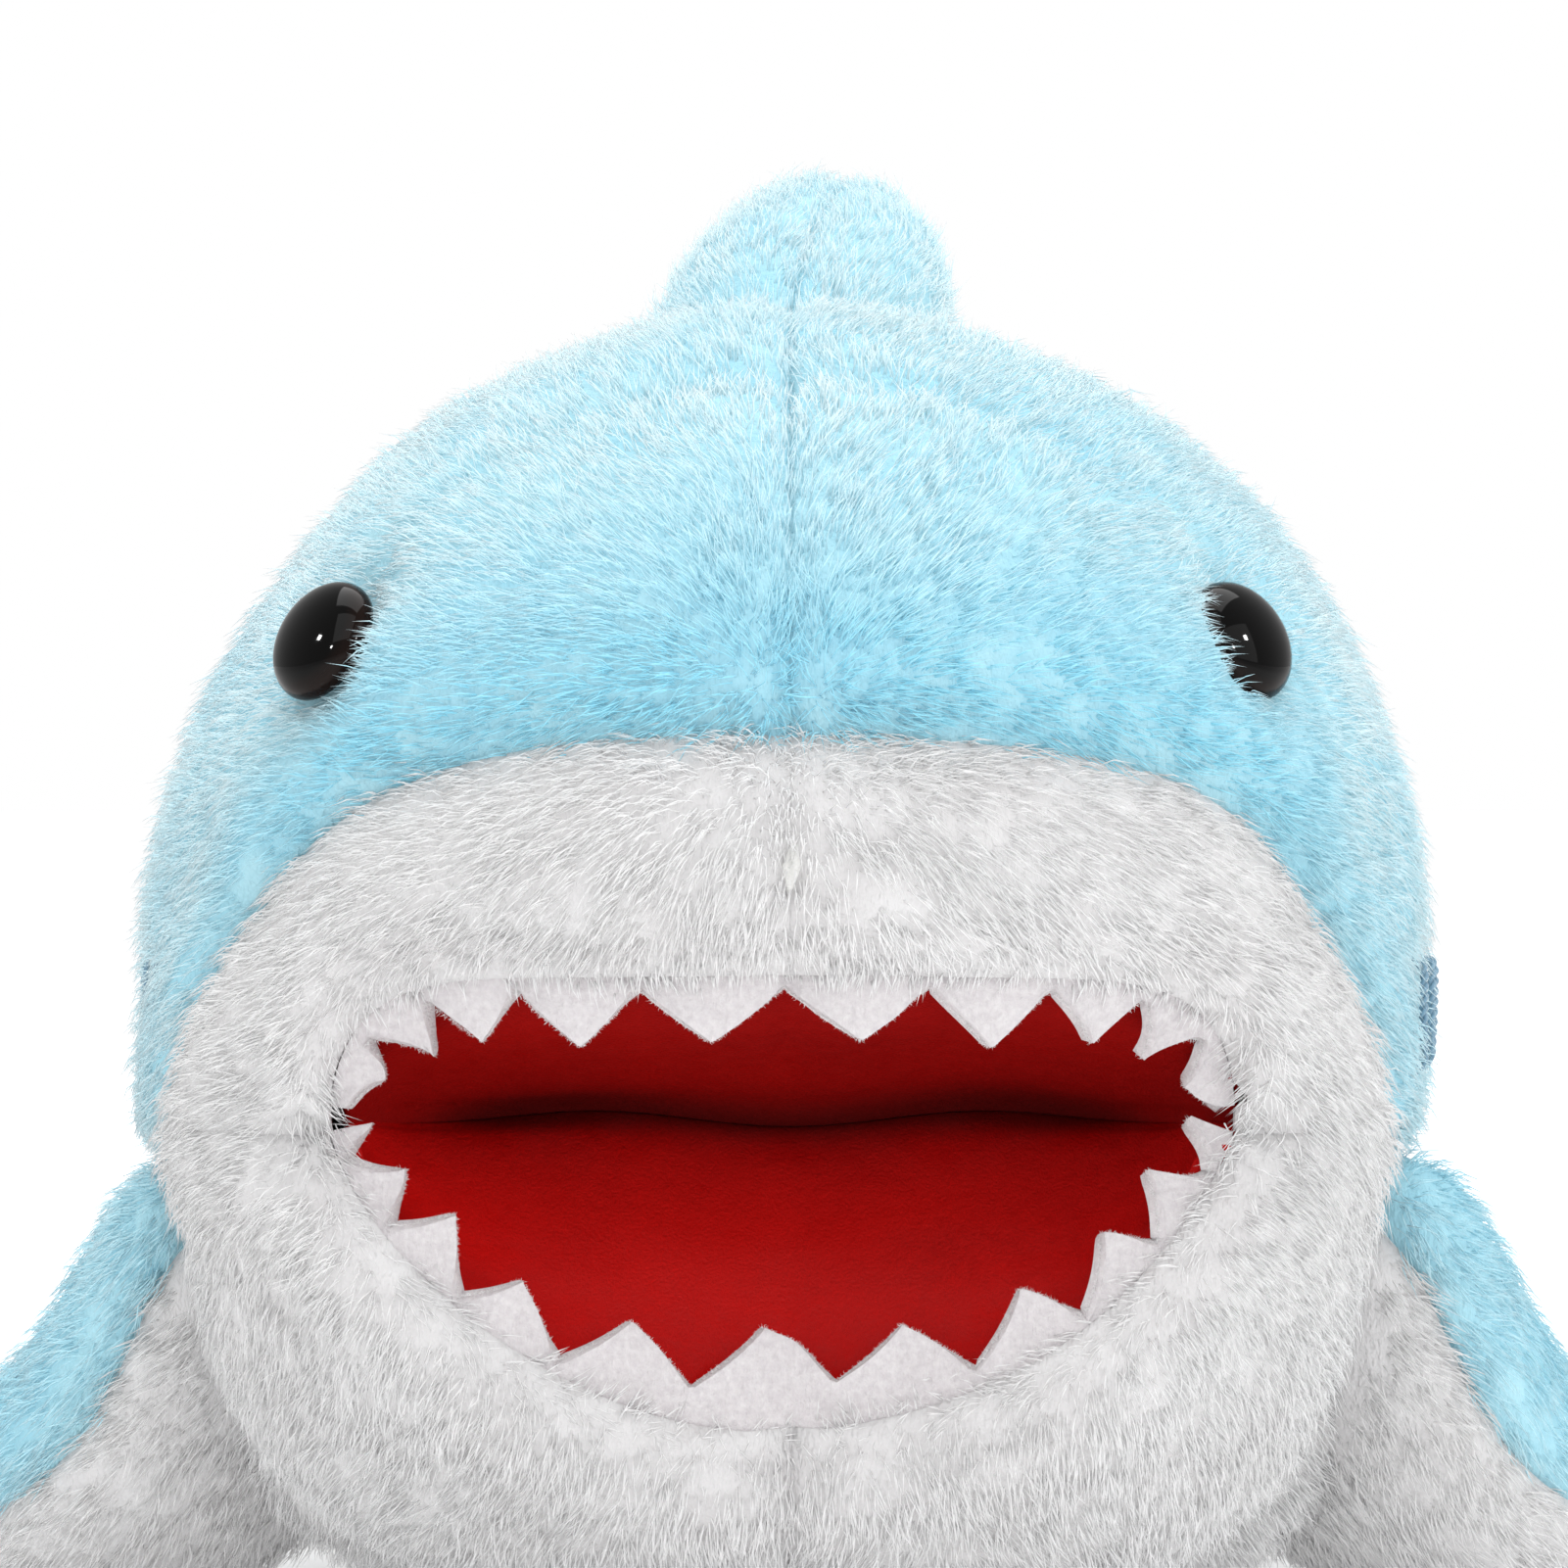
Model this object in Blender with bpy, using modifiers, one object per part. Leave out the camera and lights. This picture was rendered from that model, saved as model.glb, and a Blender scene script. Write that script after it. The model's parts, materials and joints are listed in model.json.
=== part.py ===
"""A stuffed toy shark with long pile, lying on its belly with its mouth held open.

The trunk, jaw, flippers, dorsal fin and tail are stuffed fabric bags. Each bag is fabric panels around a
filling, and each form is a unit sphere whose points are moved by a law of the form's own proportions.
Metres, +Z up. The nose points to -Y and the toy rests on z = 0. Its own left side is +X.
"""

import math

import bmesh
import bpy
from mathutils import Matrix, Vector

# Driving dimensions of the whole toy
FRONT_REACH = 0.146  # fullest section to the nose
REAR_REACH = 0.470  # fullest section to the tip of the tail fin
FULL_Y = (FRONT_REACH - REAR_REACH) / 2  # puts the middle of the length at y = 0
HALF_WIDTH = 0.135
CENTRE_Z = 0.135
HEIGHT_UP = 0.135  # centre line to the top of the back
HEIGHT_DOWN = 0.146  # centre line to the belly, before the floor flattens it
NOSE_RISE = 0.022  # the centre line climbs this much towards the nose
FRONT_ROUND = 2.1  # exponent of the forehead's outline, and what the chin adds to it
CHIN_ROUND = 0.9
BELLY_SQUARE = 2.10  # exponent of the underside's section; the back's is 2, and the chin adds this much
CHIN_SQUARE = 0.75

# Fabric
GAP = 0.0003  # between pieces that touch
TURNING_ROOM = 5 * GAP  # between a root and the socket it turns in
SKIN = 0.0025  # fabric with its packed pile
LINING = 0.0020
FILL_INSET = 0.0042  # filling below the fabric's outer face
LOOSE_FILL_INSET = 0.0046  # the same in a small bag, whose fabric bends more
SWEPT_FILL_INSET = 0.0060  # the same in the tail fin, whose sections are sheared by its sweep
FELT = 0.0030

# The line where blue meets white, in side view, falls from the nose to the flippers
SEAM_FRONT_Z = 0.181
SEAM_REAR_Z = 0.076
SEAM_MID_Y = -0.078
SEAM_RUN = 0.0195

# Mouth
CREASE_Y = -0.060  # the fold at the back of the mouth is the jaw's hinge line
CREASE_Z = 0.104
JAW_CLOSE = math.radians(14.0)
JAW_SLOT = JAW_CLOSE + math.radians(1.5)
MOUTH_CENTRE_Y = -0.160
MOUTH_HALF_WIDTH = 0.122
MOUTH_REACH = 0.100
MOUTH_UP = 0.029
MOUTH_DOWN = 0.050
TOOTH_HEIGHT = 0.013
TOOTH_SIDE_SHARE = 0.55  # of that height at the corners of the mouth
BAND_HEIGHT = 0.002  # what is left of the strip between two teeth
TOOTH_CLEARANCE = 0.0026  # the strip's sewn edge to the lining
TEETH_PER_STRIP = 10
TOOTH_ROW_HALF_ANGLE = math.radians(58.0)
TOOTH_ROW_RADIUS_X = 0.088
TOOTH_ROW_RADIUS_Y = 0.072
TOOTH_ROW_Y = -0.062

# Eyes
EYE_X = 0.091
EYE_Z = 0.201
EYE_RADIUS = 0.0125
EYE_HEIGHT = 0.0085
EYE_EDGE = 0.0012  # the straight edge under the dome
SHANK_RADIUS = 0.0025
SHANK_LENGTH = 0.017
SHANK_TAPER = 0.001
WASHER_RADIUS = 0.011
WASHER_THICKNESS = 0.0018
WASHER_DEPTH = 0.0058  # its face below the base of the eye, where the fabric curves in under it

# Gill stitches
GILL_THREAD_RADIUS = 0.0009
GILL_YS = (-0.048, -0.035, -0.022)
GILL_Z = 0.124
GILL_HALF_HEIGHT = 0.013
GILL_BOW = 0.004
GILL_LIFT = 6 * GAP  # the thread above the fabric

# Flippers: the centre line is a bend from the root to the tip, in front view
FLIPPER_ROOT = (0.1295, -0.014, 0.073)
FLIPPER_BEND = (0.1600, 0.016)
FLIPPER_TIP = (0.236, 0.0225)
FLIPPER_ROOT_RADIUS = 0.0215
FLIPPER_HALF_CHORD = 0.043
FLIPPER_LENGTH = 0.160  # along the bend
FLIPPER_TIP_RADIUS = 0.019
FLIPPER_TIP_SHARE = 0.80  # of the chord at the tip
FLIPPER_FULLNESS = 3.2  # how square the tip is
FLIPPER_SWEEP = 0.040  # the tip trails this far behind the root
FLIPPER_TWIST = math.radians(10.0)  # leading edge up

# Dorsal fin, in a frame whose y runs down the slope of the back
FIN_HINGE = (0.0, 0.072, 0.2520)
FIN_SLOPE = math.radians(-24.0)
FIN_LEAN = math.radians(6.0)
FIN_ROOT_RADIUS = 0.032
FIN_HALF_CHORD = 0.052
FIN_HEIGHT = 0.070
FIN_SWEEP = 0.030
FIN_FULLNESS = 2.4  # 2 is an ellipsoid
FIN_TIP_SHARE = 0.62  # how much of its chord the fin keeps towards the tip

# Tail: a ball at its front end sits in the back of the trunk
TAIL_Y = 0.280
TAIL_Z = 0.082
TAIL_BALL = 0.056
TRUNK_END_Y = 0.248
TRUNK_TAPER = 0.270
TRUNK_BACK_Y = 0.290  # the form's closed back, which the tail's room cuts off
TRUNK_END_RADIUS = 0.066
STEM_END_Y = 0.392
STEM_END_HALF_WIDTH = 0.020
STEM_END_HALF_HEIGHT = 0.027
STEM_END_Z = 0.094
TAIL_FIN_Y = 0.386
TAIL_FIN_Z = 0.108
TAIL_FIN_HALF_SPAN = 0.093
TAIL_FIN_SWEEP = 0.080
TAIL_FIN_HALF_CHORD = 0.034
TAIL_FIN_HALF_THICKNESS = 0.019

FAR = 0.40  # past the toy sideways, above and behind, for the outlines that bound a region
AHEAD = -0.20  # past the nose, from the fullest section
UNDER = -0.05  # below the floor
SIDES = (("left", 1), ("right", -1))
PANEL_COLOURS = {"back": "blue_fur", "belly": "white_fur", "muzzle": "white_fur", "chin": "white_fur"}

# Segments round and rings along of each form's sphere
TRUNK_MESH = (26, 16)
STEM_MESH = (16, 10)
FIN_MESH = (16, 10)
SOCKET_MESH = (20, 14)

COLOURS = {  # name: colour, roughness
    "blue_fur": ((0.43, 0.75, 0.85), 0.95),
    "white_fur": ((0.86, 0.86, 0.86), 0.95),
    "red_lining": ((0.38, 0.006, 0.006), 0.70),
    "white_felt": ((0.84, 0.82, 0.83), 0.90),
    "black_plastic": ((0.006, 0.005, 0.005), 0.06),
    "washer_plastic": ((0.75, 0.75, 0.72), 0.40),
    "gill_thread": ((0.03, 0.07, 0.16), 0.60),
    "fibre_fill": ((0.90, 0.90, 0.88), 1.00),
}


# --- Scene, materials and small helpers ---


def empty_scene():
    for old in list(bpy.data.objects):
        bpy.data.objects.remove(old, do_unlink=True)


def new_collection(name, hidden):
    collection = bpy.data.collections.new(name)
    bpy.context.scene.collection.children.link(collection)
    collection.hide_render = hidden
    return collection


def material(name):
    found = bpy.data.materials.get(name)
    if found:
        return found
    colour, roughness = COLOURS[name]
    made = bpy.data.materials.new(name)
    made.use_nodes = True
    shader = made.node_tree.nodes["Principled BSDF"]
    shader.inputs["Base Color"].default_value = (*colour, 1.0)
    shader.inputs["Roughness"].default_value = roughness
    shader.inputs["Metallic"].default_value = 0.0
    made.diffuse_color = (*colour, 1.0)
    return made


def object_from(bm, name, collection):
    """A new object holding this bmesh, with its faces turned outwards and shaded smooth."""
    bmesh.ops.recalc_face_normals(bm, faces=bm.faces)
    if bm.calc_volume(signed=True) < 0.0:
        bmesh.ops.reverse_faces(bm, faces=bm.faces)
    mesh = bpy.data.meshes.new(name)
    bm.to_mesh(mesh)
    bm.free()
    mesh.shade_smooth()
    made = bpy.data.objects.new(name, mesh)
    collection.objects.link(made)
    return made


def as_cutter(obj):
    obj.hide_render = True
    obj.display_type = "WIRE"
    return obj


def boolean(obj, cutter, operation, solver):
    modifier = obj.modifiers.new(cutter.name, "BOOLEAN")
    modifier.object = cutter
    modifier.operation = operation
    modifier.solver = solver


def cut(obj, *cutters, solver="EXACT"):
    for cutter in cutters:
        boolean(obj, cutter, "DIFFERENCE", solver)


def keep(obj, *regions, solver="EXACT"):
    for region in regions:
        boolean(obj, region, "INTERSECT", solver)


def settled_mesh(obj):
    """The object's mesh with its modifiers applied."""
    bpy.context.view_layer.update()
    graph = bpy.context.evaluated_depsgraph_get()
    return bpy.data.meshes.new_from_object(obj.evaluated_get(graph))


def piece(name, mesh, material_name):
    """A visible node that holds this mesh."""
    mesh.materials.clear()
    mesh.materials.append(material(material_name))
    made = bpy.data.objects.new(name, mesh)
    TOY.objects.link(made)
    return made


def mix(a, b, share):
    return a + (b - a) * share


def smooth(t):
    t = min(max(t, 0.0), 1.0)
    return t * t * (3.0 - 2.0 * t)


def signed_power(value, power):
    return math.copysign(abs(value) ** power, value)


# --- Forms: unit spheres moved by a law ---


def ball_form(name, law, segments, rings, collection, pole="Y"):
    """A UV sphere with its poles along this axis, each point moved to law(point)."""
    turn = {
        "X": Matrix.Rotation(math.pi / 2, 4, "Y"),
        "Y": Matrix.Rotation(math.pi / 2, 4, "X"),
        "Z": Matrix.Identity(4),
    }[pole]
    bm = bmesh.new()
    bmesh.ops.create_uvsphere(bm, u_segments=segments, v_segments=rings, radius=1.0, matrix=turn)
    for vert in bm.verts:
        vert.co = law(vert.co.normalized())
    return object_from(bm, name, collection)


def trunk_law(inset):
    """The trunk's surface, moved inwards by inset."""

    def law(unit):
        ring = math.hypot(unit.x, unit.z)
        across, up = (unit.x / ring, unit.z / ring) if ring > 1e-6 else (0.0, 0.0)
        underside = BELLY_SQUARE + CHIN_SQUARE * max(0.0, -unit.y)
        square = mix(2.0, underside, smooth(-up / 0.5))
        across = signed_power(across, 2.0 / square)
        lift = signed_power(up, 2.0 / square)
        if unit.y <= 0.0:
            blunt = FRONT_ROUND + CHIN_ROUND * max(0.0, -up)
            reach = -unit.y
            size = max(0.0, 1.0 - reach**blunt) ** (1.0 / blunt) if ring > 1e-6 else 0.0
            y = -(FRONT_REACH - inset) * reach
            half_width, half_up, half_down = HALF_WIDTH, HEIGHT_UP, HEIGHT_DOWN
            centre = CENTRE_Z + NOSE_RISE * reach**2
        else:
            y = TRUNK_BACK_Y * math.asin(min(unit.y, 1.0)) / (math.pi / 2)
            size = 1.0 if ring > 1e-6 else 0.0
            share = smooth(y / TRUNK_TAPER)
            half_width = mix(HALF_WIDTH, TRUNK_END_RADIUS, share)
            half_up = mix(HEIGHT_UP, TRUNK_END_RADIUS, share)
            half_down = mix(HEIGHT_DOWN, TRUNK_END_RADIUS, share)
            centre = mix(CENTRE_Z, TAIL_Z, share)
        half_height = half_up if up > 0.0 else half_down
        x = (half_width - inset) * size * across
        z = centre + (half_height - inset) * size * lift
        return Vector((x, FULL_Y + y, max(z, inset)))

    return law


def ellipsoid_law(centre, radii):
    def law(unit):
        return Vector(c + r * u for c, r, u in zip(centre, radii, unit))

    return law


def at_full(x, y, z):
    """A point given from the fullest section."""
    return (x, FULL_Y + y, z)


def mouth_form(name, grow):
    centre = at_full(0.0, MOUTH_CENTRE_Y, CREASE_Z)

    def law(unit):
        height = MOUTH_UP if unit.z > 0.0 else MOUTH_DOWN
        radii = (MOUTH_HALF_WIDTH + grow, MOUTH_REACH + grow, height + grow)
        return ellipsoid_law(centre, radii)(unit)

    return as_cutter(ball_form(name, law, 22, 14, CUTTERS, pole="X"))


# --- Regions: prisms that bound one panel ---


def prism(name, outline, low, high):
    """A side-view outline of (y, z) points, filled and stretched across the toy from x = low to high."""
    curve = bpy.data.curves.new(name, "CURVE")
    curve.dimensions = "2D"
    curve.fill_mode = "BOTH"
    curve.extrude = (high - low) / 2
    spline = curve.splines.new("POLY")
    spline.points.add(len(outline) - 1)
    for point, (y, z) in zip(spline.points, outline):
        point.co = (y, z, 0.0, 1.0)
    spline.use_cyclic_u = True
    flat = bpy.data.objects.new(name + "_outline", curve)
    CUTTERS.objects.link(flat)
    mesh = settled_mesh(flat)
    bpy.data.objects.remove(flat, do_unlink=True)
    bm = bmesh.new()
    bm.from_mesh(mesh)
    bmesh.ops.remove_doubles(bm, verts=bm.verts, dist=1e-6)
    # the curve's x, y and z become the toy's y, z and x
    turn = Matrix(((0, 0, 1, (low + high) / 2), (1, 0, 0, FULL_Y), (0, 1, 0, 0), (0, 0, 0, 1)))
    bmesh.ops.transform(bm, matrix=turn, verts=bm.verts)
    return as_cutter(object_from(bm, name, CUTTERS))


def seam_z(y):
    """Height of the blue and white seam at this distance behind the fullest section."""
    return SEAM_REAR_Z + (SEAM_FRONT_Z - SEAM_REAR_Z) / (1.0 + math.exp((y - SEAM_MID_Y) / SEAM_RUN))


def seam_points(offset):
    steps = 26
    ys = [mix(AHEAD, 0.10, i / steps) for i in range(steps + 1)] + [2 * FAR]
    return [(y, seam_z(y) + offset) for y in ys]


def side_bounds(side):
    """The x range of one half of the toy, clear of the centre seam."""
    return (GAP / 2, FAR) if side > 0 else (-FAR, -GAP / 2)


# --- Trunk and jaw ---


def jaw_outline(gap):
    """The jaw in side view: in front of the crease and under a slot that lets it close."""
    top = (CREASE_Y - gap, CREASE_Z - gap * 2)
    front_z = top[1] - (top[0] - AHEAD) * math.tan(JAW_SLOT)
    return [top, (AHEAD, front_z), (AHEAD, UNDER), (top[0], UNDER)]


def eye_frame(side):
    """A frame on the fabric at the eye, with z outwards."""
    reach = 0.5
    for _ in range(30):  # the surface's distance in front of the fullest section, by repeated substitution
        height = (EYE_Z - CENTRE_Z - NOSE_RISE * reach**2) / HEIGHT_UP
        ring = math.hypot(EYE_X / HALF_WIDTH, height)
        reach = (1.0 - ring**FRONT_ROUND) ** (1.0 / FRONT_ROUND)
    outward = Vector((side * EYE_X / HALF_WIDTH**2, -reach / FRONT_REACH, height / HEIGHT_UP)).normalized()
    place = Vector(at_full(side * EYE_X, -FRONT_REACH * reach, EYE_Z))
    return Matrix.Translation(place) @ outward.to_track_quat("Z", "Y").to_matrix().to_4x4()


def disc(name, radius, low, high, frame, collection, segments=20):
    bm = bmesh.new()
    bmesh.ops.create_cone(
        bm, cap_ends=True, segments=segments, radius1=radius, radius2=radius, depth=high - low
    )
    bmesh.ops.translate(bm, vec=(0.0, 0.0, (low + high) / 2), verts=bm.verts)
    bmesh.ops.transform(bm, matrix=frame, verts=bm.verts)
    return object_from(bm, name, collection)


def trunk_cutters():
    behind, above = CREASE_Y + GAP, CREASE_Z + GAP
    jaw_room = [(behind, above), (AHEAD, above), (AHEAD, UNDER), (behind, UNDER)]
    tail_room = [(TRUNK_END_Y, UNDER), (FAR, UNDER), (FAR, FAR), (TRUNK_END_Y, FAR)]
    cutters = {
        "mouth": mouth_form("mouth_hollow", 0.0),
        "mouth_skin": mouth_form("mouth_hollow_with_lining", LINING),
        "mouth_room": mouth_form("mouth_room_in_filling", LINING + GAP),
        "jaw": prism("jaw_region", jaw_outline(GAP), -FAR, FAR),
        "jaw_room": prism("jaw_room", jaw_room, -FAR, FAR),
        "tail_room": prism("tail_room", tail_room, -FAR, FAR),
    }
    ball = TAIL_BALL + TURNING_ROOM
    ball_law = ellipsoid_law(at_full(0.0, TAIL_Y, TAIL_Z), (ball, ball, ball))
    cutters["tail_socket"] = as_cutter(ball_form("tail_socket", ball_law, *SOCKET_MESH, CUTTERS, pole="Z"))
    return cutters


def root_socket(name, frame, radius, half_chord):
    """An ellipsoid turned about the hinge, which is the frame's y axis, with room to turn."""
    radii = (radius + TURNING_ROOM, half_chord + TURNING_ROOM, radius + TURNING_ROOM)

    def law(unit):
        return frame @ Vector(u * r for u, r in zip(unit, radii))

    return as_cutter(ball_form(name, law, *SOCKET_MESH, CUTTERS, pole="Y"))


def eye_holes(side, word):
    """Room for the shank through fabric and filling, and for the washer in the filling."""
    frame = eye_frame(side)
    shank = disc(f"{word}_shank_hole", SHANK_RADIUS + GAP, -0.03, 0.02, frame, CUTTERS, 10)
    floor = -WASHER_DEPTH - WASHER_THICKNESS - 2 * GAP
    washer = disc(f"{word}_washer_pocket", WASHER_RADIUS + GAP, floor, 0.01, frame, CUTTERS, 14)
    return as_cutter(shank), as_cutter(washer)


def panel_regions(word, side):
    """Where one half's blue back, white belly and white muzzle lie, in side view."""
    low, high = side_bounds(side)
    above = seam_points(GAP / 2)
    below = seam_points(-GAP / 2)
    behind = CREASE_Y + GAP
    belly = [(behind, seam_z(behind) - GAP / 2), *(point for point in below if point[0] > behind)]
    muzzle = [*(point for point in below if point[0] < CREASE_Y), (CREASE_Y, seam_z(CREASE_Y) - GAP / 2)]
    muzzle_floor = CREASE_Z - 0.014  # the room cut for the jaw trims the muzzle's lower edge
    return {
        "back": prism(f"{word}_back_region", [*above, (2 * FAR, FAR), (AHEAD, FAR)], low, high),
        "belly": prism(f"{word}_belly_region", [*belly, (2 * FAR, UNDER), (behind, UNDER)], low, high),
        "muzzle": prism(
            f"{word}_muzzle_region", [*muzzle, (CREASE_Y, muzzle_floor), (AHEAD, muzzle_floor)], low, high
        ),
        "chin": prism(f"{word}_chin_region", jaw_outline(GAP), low, high),
    }


def add_trunk(cutters, sockets):
    """The fixed panels, the filling, and the jaw's panels and filling.

    EXACT loses faces where these long cuts graze the form, so the trunk's pieces use MANIFOLD.
    """
    form = as_cutter(ball_form("trunk_form", trunk_law(0.0), *TRUNK_MESH, CUTTERS))
    core = as_cutter(ball_form("trunk_core", trunk_law(SKIN), *TRUNK_MESH, CUTTERS))
    filling = as_cutter(ball_form("trunk_filling", trunk_law(FILL_INSET), *TRUNK_MESH, CUTTERS))
    body = piece("body_stuffing", filling.data.copy(), "fibre_fill")
    cut(body, cutters["jaw_room"], cutters["tail_room"], cutters["mouth_room"], *sockets, solver="MANIFOLD")
    jaw = piece("jaw_stuffing", filling.data.copy(), "fibre_fill")
    keep(jaw, cutters["jaw"])
    cut(jaw, cutters["mouth_room"])
    for word, side in SIDES:
        shank_hole, washer_pocket = eye_holes(side, word)
        cut(body, shank_hole, washer_pocket, solver="MANIFOLD")
        regions = panel_regions(word, side)
        own_socket, fin_socket, tail_socket = sockets[0 if side > 0 else 1], sockets[2], sockets[3]
        rooms = {
            "back": (cutters["tail_room"], own_socket, fin_socket, tail_socket, shank_hole),
            "belly": (cutters["tail_room"], own_socket, tail_socket),
            "muzzle": (cutters["mouth_room"], cutters["jaw_room"]),
            "chin": (cutters["mouth_room"],),
        }
        for kind, colour in PANEL_COLOURS.items():
            panel = piece(f"{word}_{kind}_panel", form.data.copy(), colour)
            keep(panel, regions[kind], solver="MANIFOLD")
            cut(panel, core, *rooms[kind], solver="MANIFOLD")
    return form


def add_mouth_linings(cutters, trunk_form):
    """The red lining: the palate is fixed to the trunk, the tongue side moves with the jaw."""
    low = CREASE_Z + GAP
    above = prism("palate_region", [(AHEAD, low), (0.0, low), (0.0, FAR), (AHEAD, FAR)], -FAR, FAR)
    for name, region in (("palate_lining", above), ("tongue_lining", cutters["jaw"])):
        lining = piece(name, cutters["mouth_skin"].data.copy(), "red_lining")
        keep(lining, region, trunk_form)
        cut(lining, cutters["mouth"])


# --- Teeth ---


def mouth_wall_z(x, y, up):
    """Height of the mouth hollow's wall at this x and distance from the fullest section."""
    square = 1.0 - (x / MOUTH_HALF_WIDTH) ** 2 - ((y - MOUTH_CENTRE_Y) / MOUTH_REACH) ** 2
    rise = math.sqrt(max(square, 0.0))
    return CREASE_Z + (MOUTH_UP if up else -MOUTH_DOWN) * rise


def add_tooth_strip(name, up, half_angle, row_y):
    """A felt strip, sewn along the edge of the mouth, whose free edge is cut in a zigzag."""
    inward = -1.0 if up else 1.0
    stations = 2 * TEETH_PER_STRIP
    bm = bmesh.new()
    edge, tips = [], []
    for i in range(stations + 1):
        angle = mix(-half_angle, half_angle, i / stations)
        x = TOOTH_ROW_RADIUS_X * math.sin(angle)
        y = row_y - TOOTH_ROW_RADIUS_Y * math.cos(angle)
        wall = mouth_wall_z(x, y, up) + inward * TOOTH_CLEARANCE
        tooth = TOOTH_HEIGHT * mix(TOOTH_SIDE_SHARE, 1.0, math.cos(angle))
        height = tooth if i % 2 else BAND_HEIGHT
        edge.append(bm.verts.new(at_full(x, y, wall)))
        tips.append(bm.verts.new(at_full(x, y, wall + inward * height)))
    for i in range(stations):
        bm.faces.new((edge[i], edge[i + 1], tips[i + 1], tips[i]))
    strip = object_from(bm, name + "_sheet", CUTTERS)
    thick = strip.modifiers.new("felt", "SOLIDIFY")
    thick.thickness = FELT
    thick.offset = 0.0
    mesh = settled_mesh(strip)
    bpy.data.objects.remove(strip, do_unlink=True)
    piece(name, mesh, "white_felt")


# --- Eyes and gill stitches ---


def turned(name, profile, steps, frame, material_name):
    """A profile of (radius, height), from the top down its outer side, turned about the frame's z."""
    mesh = bpy.data.meshes.new(name)
    points = [(r, 0.0, z) for r, z in profile]
    mesh.from_pydata(points, [(i, i + 1) for i in range(len(points) - 1)], [])
    made = piece(name, mesh, material_name)
    made.matrix_world = frame
    screw = made.modifiers.new("turn", "SCREW")
    screw.steps = steps
    screw.render_steps = steps
    screw.use_merge_vertices = True
    screw.merge_threshold = 1e-5
    screw.use_smooth_shade = True
    return made


def add_eye(word, side):
    frame = eye_frame(side)
    dome_steps = 5
    base = GAP
    profile = [
        (
            EYE_RADIUS * math.sin(math.pi / 2 * i / dome_steps),
            base + EYE_EDGE + (EYE_HEIGHT - EYE_EDGE) * math.cos(math.pi / 2 * i / dome_steps),
        )
        for i in range(dome_steps + 1)
    ]
    profile += [
        (EYE_RADIUS, base),
        (SHANK_RADIUS, base),
        (SHANK_RADIUS, -SHANK_LENGTH + SHANK_TAPER),
        (SHANK_RADIUS - SHANK_TAPER, -SHANK_LENGTH),
        (0.0, -SHANK_LENGTH),
    ]
    turned(f"{word}_eye", profile, 22, frame, "black_plastic")
    top = -WASHER_DEPTH
    hole = SHANK_RADIUS + GAP
    washer = [
        (hole, top),
        (WASHER_RADIUS, top),
        (WASHER_RADIUS, top - WASHER_THICKNESS),
        (hole, top - WASHER_THICKNESS),
        (hole, top),
    ]
    turned(f"{word}_eye_washer", washer, 14, frame, "washer_plastic")


def surface_x(y, z):
    """Half width of the trunk in front of its fullest section, at this height."""
    reach = -y / FRONT_REACH
    up = z - CENTRE_Z - NOSE_RISE * reach**2
    size = (1.0 - reach**FRONT_ROUND) ** (1.0 / FRONT_ROUND)
    height = up / ((HEIGHT_UP if up > 0.0 else HEIGHT_DOWN) * size)
    return HALF_WIDTH * size * math.sqrt(max(0.0, 1.0 - height**2))


def add_gill_stitch(name, side, y):
    """A line of thread that follows the cheek, bowed a little towards the nose."""
    steps = 6
    curve = bpy.data.curves.new(name, "CURVE")
    curve.dimensions = "3D"
    curve.bevel_depth = GILL_THREAD_RADIUS
    curve.bevel_resolution = 1
    curve.use_fill_caps = True
    spline = curve.splines.new("POLY")
    spline.points.add(steps)
    for i, point in enumerate(spline.points):
        along = mix(-1.0, 1.0, i / steps)
        here = y - GILL_BOW * (1.0 - along**2)
        z = GILL_Z + GILL_HALF_HEIGHT * along
        x = surface_x(here, z) + GILL_THREAD_RADIUS + GILL_LIFT
        point.co = (*at_full(side * x, here, z), 1.0)
    thread = bpy.data.objects.new(name, curve)
    TOY.objects.link(thread)
    curve.materials.append(material("gill_thread"))


# --- Flippers ---


def flipper_centre(s):
    """Centre of the flipper at share s of its length, and its direction, in front view."""
    root = (FLIPPER_ROOT[0], FLIPPER_ROOT[2])
    point, slope = [], []
    for a, b, c in zip(root, FLIPPER_BEND, FLIPPER_TIP):
        point.append((1 - s) ** 2 * a + 2 * s * (1 - s) * b + s * s * c)
        slope.append(2 * (1 - s) * (b - a) + 2 * s * (c - b))
    length = math.hypot(*slope)
    return point, (slope[0] / length, slope[1] / length)


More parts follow.
